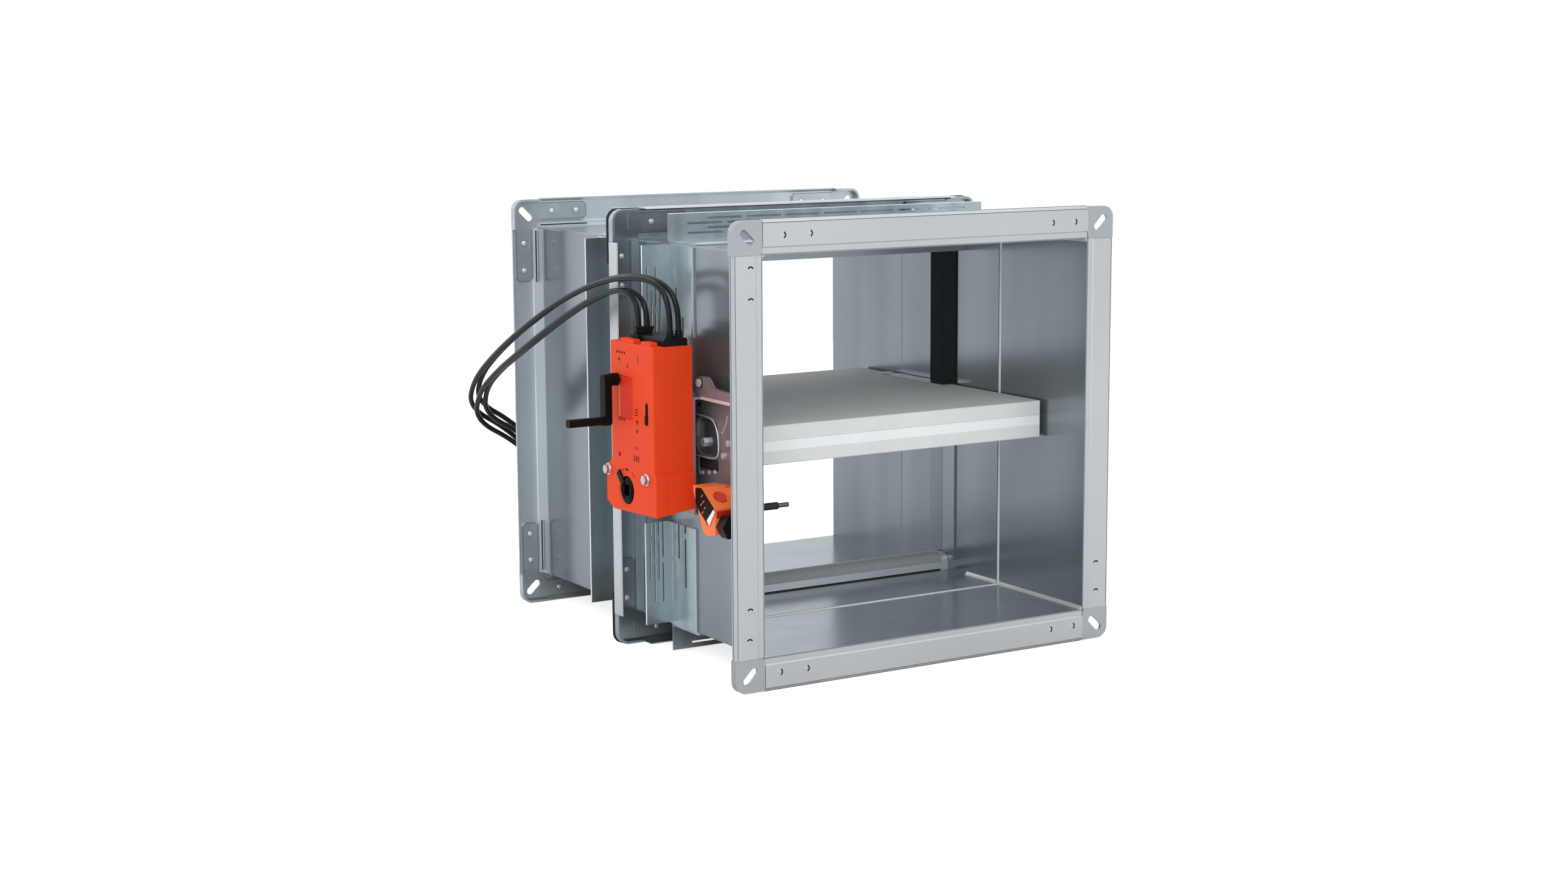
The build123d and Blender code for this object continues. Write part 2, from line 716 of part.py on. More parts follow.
# Drive shaft, spindle hub and pointer
shaft_end = cover_face + opening_depth
keep("drive_shaft", rod_x(shaft_radius, outer_lever, shaft_end, spindle_y, spindle_z))
hub = rod_x(hub_radius, shaft_end - face_gap, cover_face - face_gap, spindle_y, spindle_z)
hub -= plate_x(Pos(spindle_y, spindle_z) * Rectangle(12, 12), cover_face + opening_depth / 2,
               cover_face - 2)
keep("spindle_hub", hub)
pointer = Rot(0, 0, pointer_angle) * between(hub_radius / 2, pointer_length, -pointer_width / 2,
                                             pointer_width / 2)
keep("position_pointer", plate_x(Pos(spindle_y, spindle_z) * pointer, cover_face - face_gap,
                                 cover_face - face_gap - pointer_thickness))

# Lock slider, at the lower end of its slot
lock_rest = lock_z - (lock_slot_length - lock_length) / 2 + lock_clearance
lock_travel = lock_slot_length - lock_length - 2 * lock_clearance
lock_face = Pos(lock_y, lock_rest) * Rot(0, 0, 90) * SlotOverall(lock_length,
                                                                lock_slot_width - 2 * lock_clearance)
keep("lock_slider", plate_x(lock_face, cover_face + lock_slot_depth - 0.2, cover_face - lock_proud))

# Hand crank: shaft and hub, arm, and a grip standing out of the arm's end
hub_end = cover_face - face_gap - crank_hub_height
arm_end = hub_end - crank_arm_thickness
crank_hub = rod_x(crank_hub_radius, cover_face - face_gap, hub_end, crank_y, crank_z)
crank_hub += rod_x(crank_shaft_radius, cover_face + crank_shaft_depth - 0.5, cover_face - face_gap,
                   crank_y, crank_z)
keep("crank_hub", crank_hub)
grip_z = crank_z - crank_reach
arm = make_hull([Pos(crank_y, crank_z) * Circle(crank_arm_width / 2).edge(),
                 Pos(crank_y, grip_z) * Circle(crank_arm_width / 2).edge()])
keep("crank_arm", plate_x(arm, hub_end, arm_end))
grip = Pos(crank_y, grip_z) * RectangleRounded(crank_arm_width - 2, 2 * crank_grip_radius, 2)
keep("crank_grip", plate_x(grip, arm_end, arm_end - crank_grip_length))

# Cable gland cover and boots on the actuator's top
gland_low = spindle_z + body_top
gland_high = gland_low + gland_height
gland = block(actuator_back - gland_outer + 2, actuator_back - gland_inner, gland_front, gland_rear,
              gland_low, gland_high)
gland = chamfer(gland.edges().filter_by(Axis.Y).group_by(Axis.Z)[-1], 2)
keep("gland_cover", gland)

boot_top = gland_high + boot_height
floor_z = -half_height - flange_width
lying_z = floor_z + cable_diameter / 2

# Routes from the boots over the actuator and down behind the rear flange: x from the left wall, y, z
cable_routes = {
    "supply_cable": [
        (-42, 110, boot_top), (-42, 110, 146), (-47, 124, 166), (-53, 160, 171), (-58, 225, 163),
        (-65, 305, 138), (-72, 385, 102), (-74, 458, 66), (-74, 522, 28), (-65, 557, -9),
        (-13, 562, -39), (36, 564, -88), (78, 566, -144), (116, 566, -201), (170, 564, lying_z),
        (222, 568, lying_z)],
    "switch_cable": [
        (-32, 110, boot_top), (-32, 110, 145), (-38, 124, 165), (-46, 160, 172), (-51, 225, 165),
        (-58, 305, 141), (-65, 385, 105), (-67, 457, 70), (-67, 517, 34), (-59, 548, -1),
        (-10, 552, -30), (39, 555, -80), (82, 556, -137), (121, 556, -197), (176, 554, lying_z),
        (228, 558, lying_z)],
    "trip_cable": [
        (-52, 158, boot_top), (-52, 158, 139), (-55, 170, 154), (-58, 200, 155), (-61, 255, 139),
        (-66, 328, 108), (-71, 400, 73), (-72, 464, 43), (-72, 514, 13), (-62, 545, -23),
        (-10, 548, -52), (37, 543, -100), (74, 541, -157), (116, 540, -207), (170, 541, lying_z),
        (220, 545, lying_z)],
    "signal_cable": [
        (-42, 158, boot_top), (-42, 158, 138), (-46, 170, 153), (-50, 200, 156), (-54, 255, 141),
        (-59, 328, 110), (-64, 400, 75), (-65, 462, 47), (-65, 508, 19), (-55, 534, -15),
        (-5, 536, -42), (42, 531, -91), (78, 529, -148), (120, 528, -202), (176, 529, lying_z),
        (226, 533, lying_z)],
}
cable_routes = {name: [(wall_x + x, y, z) for x, y, z in points] for name, points in cable_routes.items()}


def cable(name, points):
    """A plain cable along straight runs joined by arcs as large as the runs allow."""
    corners = [Vector(*point) for point in points]
    runs = [after - before for before, after in zip(corners, corners[1:])]
    radii = []
    for before, after in zip(runs, runs[1:]):
        half_turn = radians(before.get_angle(after)) / 2
        radii.append(0.45 * min(before.length, after.length) / tan(half_turn))
    path = FilletPolyline(*corners, radius=radii)
    section = RegularPolygon(cable_diameter / 2, cable_sides)
    tube = sweep(Plane(origin=corners[0], z_dir=runs[0]) * section, path=path)
    print(name, "length", round(path.length), "radii", [round(radius) for radius in radii],
          "volume over section", round(tube.volume / section.area))
    return tube


def ferrules(points):
    """Two crimped bare ends standing out of the cable's end."""
    end, before = Vector(*points[-1]), Vector(*points[-2])
    plane = Plane(origin=end, z_dir=end - before)
    return [plane * Pos(side * ferrule_offset, 0, 0)
            * Box(ferrule_width, ferrule_width, ferrule_length, align=(Align.CENTER, Align.CENTER, Align.MIN))
            for side in (-1, 1)]


for name, points in cable_routes.items():
    keep(name, cable(name, points))
keep("cable_ends", *[piece for points in cable_routes.values() for piece in ferrules(points)])
keep("cable_boots", *[Pos(points[0][0], points[0][1], gland_high)
                      * extrude(RegularPolygon(boot_radius, boot_sides), boot_height)
                      for points in cable_routes.values()])


# Thermoelectric trip unit: a shaped part on a base, its slanted upper face with the button's recess
shoulder = Vector(probe_y - trip_front, probe_z + trip_shoulder)
peak = Vector(probe_y - trip_peak_front, probe_z + trip_peak)
slope = (peak - shoulder).normalized()
slope_middle = (peak + shoulder) / 2
trip_step = plate_face - trip_base                   # where the shaped part meets its base
button_plane = Plane(origin=(trip_face_x + recess_x, slope_middle.X, slope_middle.Y), x_dir=(1, 0, 0),
                     z_dir=(0, -slope.Y, slope.X))
trip_outline = make_face(Polyline(
    (shoulder.X, shoulder.Y), (peak.X, peak.Y), (probe_y + trip_rear, probe_z + trip_peak),
    (probe_y + trip_rear, probe_z + trip_peak - trip_nape),
    (probe_y - trip_heel, probe_z - trip_heel_drop), (probe_y - trip_keel, probe_z - trip_bottom),
    (probe_y - trip_front, probe_z - trip_toe), close=True))


def trip_housing():
    base = between(probe_y - trip_base_front, probe_y + trip_rear,
                   probe_z - trip_base_bottom, probe_z + trip_base_top)
    body = plate_x(trip_outline, trip_step, trip_face_x)
    body -= button_plane * Pos(0, 0, -recess_floor) * Cylinder(
        recess_radius, 2 * recess_floor, align=(Align.CENTER, Align.CENTER, Align.MIN))
    body -= button_plane * Pos(0, 0, -recess_floor) * Cylinder(
        button_radius + button_clearance, button_length, align=(Align.CENTER, Align.CENTER, Align.MAX))
    body += plate_x(base, plate_face, trip_step)
    return body - rod_x(probe_radius, plate_face - probe_socket, plate_face + 1, probe_y, probe_z)


keep("trip_housing", trip_housing())
across = Vector(slope.Y, -slope.X)
label_top = peak + across * label_rim
label_low = shoulder + across * label_rim
label_corners = (label_top, label_low, label_low + across * label_width, label_top + across * label_width)
label = make_face(Polyline(*[(corner.X, corner.Y) for corner in label_corners], close=True))
label &= offset(trip_outline, -label_rim, kind=Kind.INTERSECTION)
keep("trip_label", plate_x(label, trip_face_x, trip_face_x - label_thickness))
button = button_plane * Pos(0, 0, -recess_floor + button_proud) * Cylinder(
    button_radius, button_proud + button_length - button_travel - button_clearance,
    align=(Align.CENTER, Align.CENTER, Align.MAX))
keep("test_button", button)
probe_end = wall_x + probe_length
keep("trip_probe", rod_x(probe_radius, plate_face - probe_socket, probe_end, probe_y, probe_z))
keep("probe_tip", rod_x(probe_tip_radius, probe_end, probe_end + probe_tip_length, probe_y, probe_z))
connector_place = Pos(trip_face_x + connector_x, probe_z - connector_drop)
keep("trip_connector", plate_y(connector_place * RegularPolygon(connector_radius, 6),
                               probe_y - trip_front - connector_length, probe_y - trip_front))
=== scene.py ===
from math import cos, pi, radians, sin

import bpy
import bmesh
from mathutils import Matrix, Vector


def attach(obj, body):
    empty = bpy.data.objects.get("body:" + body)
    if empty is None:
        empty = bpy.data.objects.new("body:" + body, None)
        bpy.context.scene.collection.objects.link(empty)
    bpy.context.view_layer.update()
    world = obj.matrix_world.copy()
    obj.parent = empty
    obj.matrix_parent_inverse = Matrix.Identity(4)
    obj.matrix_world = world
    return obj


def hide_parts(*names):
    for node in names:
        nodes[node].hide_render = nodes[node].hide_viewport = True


# Motorised fire damper, dressed: X across the duct, Y along the air path, Z up.
# Lengths are written in millimetres and turned into metres by MM.
MM = 0.001

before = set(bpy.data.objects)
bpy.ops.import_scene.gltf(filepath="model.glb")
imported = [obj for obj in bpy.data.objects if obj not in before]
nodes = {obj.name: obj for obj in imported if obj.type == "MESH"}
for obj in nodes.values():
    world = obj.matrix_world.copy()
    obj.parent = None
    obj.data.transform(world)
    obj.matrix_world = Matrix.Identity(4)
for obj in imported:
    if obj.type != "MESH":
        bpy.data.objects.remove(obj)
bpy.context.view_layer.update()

# Places and sizes shared with the model
WALL = -201.5               # outer face of the left wall
PLATE_FACE = -203.5         # outer face of the base plate
TRIP_FACE = -240.0          # outer face of the trip unit
COVER_FACE = -270.0         # outer face of the actuator
FLANGE = 235.0              # half the width of a flange
DUCT = 200.0                # half the clear width of the end sections
MIDDLE_DUCT = 199.0         # and of the middle section, whose wall is thicker
SPINDLE = (157.0, -47.0)    # Y and Z of the actuator's spindle

# Cosine and sine of the quarter turns, which along_side takes as top, right, bottom and left
QUARTERS = ((1, 0), (0, 1), (-1, 0), (0, -1))


def add_node(tree, kind, **settings):
    node = tree.nodes.new(kind)
    for key, value in settings.items():
        setattr(node, key, value)
    return node


class Look:
    """A node material in object coordinates, so it moves with its piece."""

    def __init__(self, name, rough, metal=0.0, **constants):
        self.material = bpy.data.materials.new(name)
        self.material.use_nodes = True
        self.tree = self.material.node_tree
        self.shader = self.tree.nodes["Principled BSDF"]
        self.shader.inputs["Roughness"].default_value = rough
        self.shader.inputs["Metallic"].default_value = metal
        for socket, value in constants.items():
            self.shader.inputs[socket.replace("_", " ")].default_value = value
        self.place = self.add("ShaderNodeTexCoord").outputs["Object"]
        self.normal = None

    def add(self, kind, **settings):
        return add_node(self.tree, kind, **settings)

    def link(self, source, target):
        self.tree.links.new(source, target)

    def stretched(self, size):
        """Object coordinates divided by a feature size in millimetres along each axis."""
        mapping = self.add("ShaderNodeMapping")
        mapping.inputs["Scale"].default_value = [1 / (part * MM) for part in size]
        self.link(self.place, mapping.inputs["Vector"])
        return mapping.outputs["Vector"]

    def noise(self, size, detail=2.0, rough=0.5):
        size = size if isinstance(size, tuple) else (size,) * 3
        node = self.add("ShaderNodeTexNoise")
        node.inputs["Scale"].default_value = 1.0
        node.inputs["Detail"].default_value = detail
        node.inputs["Roughness"].default_value = rough
        self.link(self.stretched(size), node.inputs["Vector"])
        return node.outputs["Fac"]

    def cells(self, size):
        """Random grey per crystal."""
        node = self.add("ShaderNodeTexVoronoi")
        node.inputs["Scale"].default_value = 1.0
        self.link(self.stretched((size,) * 3), node.inputs["Vector"])
        grey = self.add("ShaderNodeRGBToBW")
        self.link(node.outputs["Color"], grey.inputs["Color"])
        return grey.outputs["Val"]

    def ramp(self, value, low, high):
        """The value spread from low..high to 0..1."""
        node = self.add("ShaderNodeMapRange")
        node.inputs["From Min"].default_value = low
        node.inputs["From Max"].default_value = high
        self.link(value, node.inputs["Value"])
        return node.outputs["Result"]

    def sum(self, first, second, weight):
        """The first value and the second times a weight."""
        node = self.add("ShaderNodeMath", operation="MULTIPLY_ADD")
        self.link(second, node.inputs[0])
        node.inputs[1].default_value = weight
        self.link(first, node.inputs[2])
        return node.outputs[0]

    def colour(self, value, dark, light):
        """The value 0..1 as a colour between two."""
        node = self.add("ShaderNodeMix", data_type="RGBA")
        self.link(value, node.inputs["Factor"])
        node.inputs["A"].default_value = (*dark, 1)
        node.inputs["B"].default_value = (*light, 1)
        self.link(node.outputs["Result"], self.shader.inputs["Base Color"])

    def gloss(self, value, low, high):
        """The value 0..1 as a roughness between two."""
        node = self.add("ShaderNodeMapRange")
        node.inputs["To Min"].default_value = low
        node.inputs["To Max"].default_value = high
        self.link(value, node.inputs["Value"])
        self.link(node.outputs["Result"], self.shader.inputs["Roughness"])

    def bump(self, value, height):
        """Relief of a height in millimetres, over what was added before."""
        node = self.add("ShaderNodeBump")
        node.inputs["Distance"].default_value = height * MM
        node.inputs["Strength"].default_value = 1.0
        self.link(value, node.inputs["Height"])
        if self.normal:
            self.link(self.normal, node.inputs["Normal"])
        self.normal = node.outputs["Normal"]
        self.link(self.normal, self.shader.inputs["Normal"])


def shaded(tone, factor):
    return [part * factor for part in tone]


def galvanised(name, tone, rough, grain, contrast=0.05, metal=1.0):
    """Zinc-coated sheet: soft bands along the grain, faint clouds and crystals; on the casing the bands
    stand upright as painted reflections.
    """
    look = Look(name, rough, metal)
    bands = look.noise(grain, 1.0)
    clouds = look.noise(130.0, 2.0)
    value = look.sum(look.sum(bands, clouds, 0.5), look.cells(6.0), 0.05)
    look.colour(look.ramp(value, 0.5, 1.05), shaded(tone, 1 - contrast), shaded(tone, 1 + contrast))
    look.gloss(clouds, rough - 0.02, rough + 0.04)
    look.bump(look.noise(0.9, 2.0), 0.002)
    return look.material


def bright_zinc(name, tone, rough, metal=1.0):
    look = Look(name, rough, metal)
    clouds = look.noise(14.0, 3.0)
    look.colour(clouds, shaded(tone, 0.92), shaded(tone, 1.05))
    look.gloss(look.noise(3.0, 3.0), rough - 0.04, rough + 0.06)
    look.bump(look.noise(0.7, 2.0), 0.004)
    return look.material


def board(name, dark, light):
    """Calcium silicate board: fine fibres and specks."""
    look = Look(name, 0.85)
    specks = look.noise(1.4, 4.0, 0.7)
    fibres = look.noise((18.0, 18.0, 1.2), 3.0)
    clouds = look.noise(70.0, 2.0)
    value = look.sum(look.sum(clouds, specks, 0.5), fibres, 0.3)
    look.colour(look.ramp(value, 0.6, 1.2), dark, light)
    look.bump(specks, 0.12)
    look.bump(fibres, 0.08)
    return look.material


def moulded(name, dark, light, rough, grain=0.5, relief=0.012, **constants):
    """Moulded plastic with a fine eroded texture."""
    look = Look(name, rough, 0.0, **constants)
    look.colour(look.noise(30.0, 2.0), dark, light)
    look.gloss(look.noise(2.0, 2.0), rough - 0.04, rough + 0.06)
    look.bump(look.noise(grain, 2.0), relief)
    return look.material


def fibrous(name, dark, light, grain, relief, rough=0.9):
    """Foam, rubber strip or felt; also the flat dark of painted shade in holes, slots and gaps."""
    look = Look(name, rough)
    look.colour(look.noise(grain * 2, 4.0, 0.7), dark, light)
    look.bump(look.noise(grain, 3.0, 0.7), relief)
    return look.material


RAIL = galvanised("rail_zinc", (0.60, 0.595, 0.59), 0.42, (160.0, 160.0, 160.0), 0.03, 0.9)
CORNER = galvanised("corner_zinc", (0.47, 0.48, 0.49), 0.40, (60.0, 60.0, 60.0), 0.05)
UPRIGHT = galvanised("section_zinc", (0.455, 0.52, 0.545), 0.26, (22.0, 16.0, 700.0), 0.22, 0.85)
BACK_RAIL = galvanised("back_rail_zinc", (0.70, 0.745, 0.77), 0.34, (40.0, 30.0, 900.0), 0.08, 0.75)
BACK_CORNER = galvanised("back_corner_zinc", (0.40, 0.44, 0.46), 0.20, (30.0, 30.0, 30.0), 0.14, 0.9)
REAR_CORNER = galvanised("rear_corner_zinc", (0.52, 0.56, 0.58), 0.30, (26.0, 26.0, 26.0), 0.14, 0.8)
# The casing's upright bands are painted reflections of the room
CASING = galvanised("casing_zinc", (0.285, 0.315, 0.335), 0.19, (60.0, 45.0, 900.0), 0.12, 0.8)
BEVEL = galvanised("bevel_zinc", (0.56, 0.56, 0.565), 0.26, (160.0, 160.0, 160.0), 0.04)
# Near-white zinc painted as the highlight along edges
EDGE_HIGHLIGHT = galvanised("edge_highlight_zinc", (0.93, 0.94, 0.94), 0.45, (90.0, 90.0, 90.0), 0.03, 0.3)
# Near-black zinc painted as the shade in creases and pressed outlines
CREASE_SHADE = galvanised("crease_shade_zinc", (0.13, 0.135, 0.14), 0.5, (60.0, 60.0, 60.0), 0.10, 0.6)
LIP = galvanised("lip_zinc", (0.62, 0.625, 0.63), 0.34, (90.0, 90.0, 90.0), 0.05, 0.8)
# Pale zinc painted as the highlight along beads, folds, rims, ledge edge and clinch dots
HIGHLIGHT_ZINC = galvanised("seam_highlight_zinc", (0.80, 0.81, 0.81), 0.32, (90.0, 90.0, 90.0), 0.03, 0.55)
CHANNEL = galvanised("channel_zinc", (0.70, 0.74, 0.76), 0.36, (60.0, 60.0, 60.0), 0.06, 0.45)
# Paler still, painted as the highlight on the front seam
FRONT_HIGHLIGHT_ZINC = galvanised("front_seam_highlight_zinc", (0.90, 0.905, 0.905), 0.36, (90.0, 90.0, 90.0), 0.03, 0.15)
STEEL = bright_zinc("bright_steel", (0.62, 0.62, 0.63), 0.24)
# The bracket's and hook's reddish grey is a painted reflection of the orange housing
BRACKET_REFLECTING_ORANGE = bright_zinc("bracket_steel_orange_reflection", (0.34, 0.30, 0.31), 0.40, 0.55)
HOOK_REFLECTING_ORANGE = bright_zinc("hook_steel_orange_reflection", (0.27, 0.25, 0.26), 0.40, 0.5)
SCREW_HEAD = bright_zinc("screw_zinc", (0.78, 0.78, 0.77), 0.34, 0.5)
DULL_STEEL = bright_zinc("dull_steel", (0.34, 0.36, 0.37), 0.34)
OUTER_BOARD = board("outer_board", (0.66, 0.65, 0.635), (0.74, 0.735, 0.72))
MIDDLE_BOARD = board("middle_board", (0.80, 0.80, 0.79), (0.86, 0.86, 0.85))
DARK_SEAL = fibrous("dark_seal", (0.004, 0.004, 0.005), (0.010, 0.010, 0.011), 1.2, 0.03)
# Darker than the strips beside them: painted shade
SHADED_SIDE_SEAL = galvanised("side_seal_shade_zinc", (0.24, 0.265, 0.28), 0.30, (30.0, 30.0, 900.0), 0.06)
LIGHT_SEAL = galvanised("strip_zinc", (0.31, 0.335, 0.35), 0.30, (30.0, 30.0, 900.0), 0.06)
GASKET = fibrous("gasket_foam", (0.008, 0.008, 0.009), (0.022, 0.022, 0.024), 0.8, 0.08)
FELT = fibrous("grey_felt", (0.28, 0.30, 0.31), (0.48, 0.50, 0.51), 1.0, 0.2)
ORANGE = moulded("orange_housing", (0.78, 0.054, 0.010), (0.84, 0.064, 0.013), 0.46,
                 Specular_IOR_Level=0.14)
RED_ORANGE = moulded("recess_panel", (0.70, 0.028, 0.010), (0.76, 0.036, 0.013), 0.42,
                     Specular_IOR_Level=0.14)
TRIP_ORANGE = moulded("trip_orange", (0.92, 0.175, 0.04), (0.96, 0.20, 0.052), 0.45,
                      Specular_IOR_Level=0.35)
MARK = moulded("pressed_marks", (0.11, 0.012, 0.006), (0.16, 0.016, 0.008), 0.6, Specular_IOR_Level=0.1)
BLACK = moulded("black_plastic", (0.006, 0.005, 0.005), (0.011, 0.010, 0.010), 0.36,
                Specular_IOR_Level=0.2)
SHEATH = moulded("cable_sheath", (0.004, 0.004, 0.005), (0.007, 0.007, 0.008), 0.2, 1.5, 0.006,
                 Specular_IOR_Level=0.3)
PROBE = moulded("probe_coating", (0.007, 0.007, 0.008), (0.016, 0.016, 0.017), 0.4,
                Specular_IOR_Level=0.3)
TIP = bright_zinc("probe_tip_metal", (0.14, 0.14, 0.15), 0.4)
BUTTON = moulded("button_plastic", (0.58, 0.038, 0.010), (0.66, 0.048, 0.014), 0.26, 1.5, 0.003,
                 Coat_Weight=0.3)
WHITE = moulded("white_plastic", (0.78, 0.78, 0.78), (0.86, 0.86, 0.86), 0.5)
# Dark red painted as the shade under the trip unit's lip
SHADE_RED = moulded("shade_red_plastic", (0.40, 0.018, 0.008), (0.48, 0.024, 0.010), 0.42, Specular_IOR_Level=0.2)
DEEP_BLACK = moulded("deep_black_plastic", (0.003, 0.003, 0.003), (0.006, 0.005, 0.005), 0.4,
                     Specular_IOR_Level=0.08)
TINNED = bright_zinc("tinned_wire", (0.75, 0.72, 0.67), 0.3)
PAD = fibrous("dark_pad", (0.016, 0.018, 0.023), (0.030, 0.032, 0.040), 1.0, 0.03, 0.55)
# Flat near-black painted as the shade inside holes, slots and gaps
HOLE_SHADE = fibrous("shadow_gap", (0.006, 0.006, 0.007), (0.014, 0.014, 0.015), 1.0, 0.02)

NODE_LOOKS = {
    "front_flange_rails": RAIL, "front_flange_corners": CORNER,
    "rear_flange_rails": BACK_RAIL, "rear_flange_corners": REAR_CORNER,
    "middle_frame_rails": UPRIGHT, "middle_frame_corners": BACK_CORNER,
    "frame_gasket": GASKET, "front_casing": CASING, "middle_casing": CASING, "rear_casing": CASING,
    "slotted_angles": UPRIGHT, "plain_angles": UPRIGHT,
    "lower_stop": CHANNEL, "lower_seal_roll": FELT, "upper_stop": DULL_STEEL,
    "upper_seal_roll": FELT, "upper_side_seals": DARK_SEAL, "lower_side_seals": SHADED_SIDE_SEAL,
    "lower_side_strips": LIGHT_SEAL, "shaft_bushes": BLACK, "mounting_bracket": BRACKET_REFLECTING_ORANGE,
    "upper_bracket": HOOK_REFLECTING_ORANGE, "bracket_screws": SCREW_HEAD, "actuator_base": ORANGE,
    "actuator_cover": ORANGE, "actuator_screws": STEEL, "gland_cover": BLACK, "cable_boots": BLACK,
    "cable_ends": TINNED, "trip_housing": TRIP_ORANGE, "trip_label": DEEP_BLACK, "trip_probe": PROBE,
    "probe_tip": TIP, "trip_connector": BLACK, "blade_bottom_board": OUTER_BOARD,
    "blade_middle_board": MIDDLE_BOARD, "blade_top_board": OUTER_BOARD, "blade_brackets": STEEL,
    "left_stub_shaft": STEEL, "right_stub_shaft": STEEL, "shaft_lever": DULL_STEEL,
    "shaft_lever_pin": STEEL, "drive_shaft": STEEL, "spindle_hub": BLACK,
    "position_pointer": DEEP_BLACK, "drive_lever": DULL_STEEL, "drive_lever_pin": STEEL,
    "link_rod": DULL_STEEL, "crank_hub": DEEP_BLACK, "crank_arm": DEEP_BLACK, "crank_grip": DEEP_BLACK,
    "lock_slider": DEEP_BLACK, "test_button": BUTTON, "supply_cable": SHEATH, "switch_cable": SHEATH,
    "trip_cable": SHEATH, "signal_cable": SHEATH,
}
EDGE_ANGLE = radians(32)    # a sharper fold stays an edge


def soften(item, width):
    """A small rounded edge that catches the light."""
    bevel = item.modifiers.new("edges", "BEVEL")
    bevel.width = width * MM
    bevel.segments = 2
    bevel.limit_method = "ANGLE"
    bevel.angle_limit = EDGE_ANGLE
    bevel.harden_normals = False


def smooth(mesh):
    mesh.polygons.foreach_set("use_smooth", [True] * len(mesh.polygons))
    mesh.set_sharp_from_angle(angle=EDGE_ANGLE)


for name, look in NODE_LOOKS.items():
    node = nodes[name]
    node.data.materials.clear()
    node.data.materials.append(look)
    smooth(node.data)


# Pieces made here
def piece(name, shape, look, body="root"):
    """A form in the row frame as a named piece that rides on a body."""
    mesh = bpy.data.meshes.new(name)
    bmesh.ops.recalc_face_normals(shape, faces=shape.faces)
    shape.to_mesh(mesh)
    shape.free()
    smooth(mesh)
    item = bpy.data.objects.new(name, mesh)
    bpy.context.scene.collection.objects.link(item)
    mesh.materials.append(look)
    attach(item, body)
    return item


def add_walls(shape, rings):
    """Faces between each ring of points and the next."""
    count = len(rings[0])
    for first, second in zip(rings, rings[1:]):
        for i in range(count):
            j = (i + 1) % count
            shape.faces.new((first[i], first[j], second[j], second[i]))


def add_closed(shape, rings):
    """Walls along the rings and a lid on each end."""
    add_walls(shape, rings)
    shape.faces.new(rings[0][::-1])
    shape.faces.new(rings[-1])


def add_prism(shape, outline, low, high, place):
    """A closed outline drawn out from low to high; place turns (u, v, w) into a point."""
    add_closed(shape, [[shape.verts.new(Vector(place(u, v, w)) * MM) for u, v in outline]
                       for w in (low, high)])


def side(u, v, w):
    """Outline in Y and Z, depth along X."""
    return w, u, v


def face(u, v, w):
    """Outline in X and Z, depth along Y."""
    return u, w, v


def along_side(c, s):
    """Outline in (radial, Y) on one side of the duct, depth along that side."""
    return lambda u, v, w: (c * w + s * u, v, c * u - s * w)


def circle(u, v, radius, count):
    return [(u + radius * cos(2 * pi * i / count), v + radius * sin(2 * pi * i / count))
            for i in range(count)]


def box(u0, u1, v0, v1):
    return [(u0, v0), (u1, v0), (u1, v1), (u0, v1)]


def rounded_box(u0, u1, v0, v1, radius):
    count, points = 5, []
    for u, v, first in ((u1 - radius, v1 - radius, 0), (u0 + radius, v1 - radius, 90),
                        (u0 + radius, v0 + radius, 180), (u1 - radius, v0 + radius, 270)):
        for i in range(count + 1):
            angle = radians(first + 90 * i / count)
            points.append((u + radius * cos(angle), v + radius * sin(angle)))
    return points


def arc_band(u, v, inner, outer, first, last, count):
    """A curved band between two radii and two angles in degrees."""
    angles = [radians(first + (last - first) * i / count) for i in range(count + 1)]
    return ([(u + outer * cos(a), v + outer * sin(a)) for a in angles]
            + [(u + inner * cos(a), v + inner * sin(a)) for a in reversed(angles)])


def prisms(name, outlines, low, high, place, look, body="root", edge=0.0):
    """One piece of several prisms of the same depth."""
    shape = bmesh.new()
    for outline in outlines:
        add_prism(shape, outline, low, high, place)
    item = piece(name, shape, look, body)
    if edge:
        soften(item, edge)


def add_tube(shape, outer, inner, low, high, place):
    """A wall between two outlines with as many points, drawn out from low to high."""
    rings = [[shape.verts.new(Vector(place(u, v, w)) * MM) for u, v in outline]
             for outline, w in ((outer, low), (outer, high), (inner, high), (inner, low))]
    add_walls(shape, rings + rings[:1])


def tube_piece(name, outer, inner, low, high, look):
    shape = bmesh.new()
    add_tube(shape, outer, inner, low, high, side)
    return piece(name, shape, look)


def add_turned(shape, profile, centre, axis, count):
    """A closed turned form: profile of (radius, reach) from the centre along the axis."""
    axis = Vector(axis).normalized()
    across = axis.orthogonal().normalized()
    other = axis.cross(across)
    rings = []
    for radius, reach in profile:
        ring = []
        for i in range(count):
            angle = 2 * pi * i / count
            spot = Vector(centre) + axis * reach + (across * cos(angle) + other * sin(angle)) * radius
            ring.append(shape.verts.new(spot * MM))
        rings.append(ring)
    add_closed(shape, rings)


def turned_piece(name, profile, places, axis, look, count=20):
    """One piece of several turned forms of the same profile."""
    shape = bmesh.new()
    for centre in places:
        add_turned(shape, profile, centre, axis, count)
    return piece(name, shape, look)


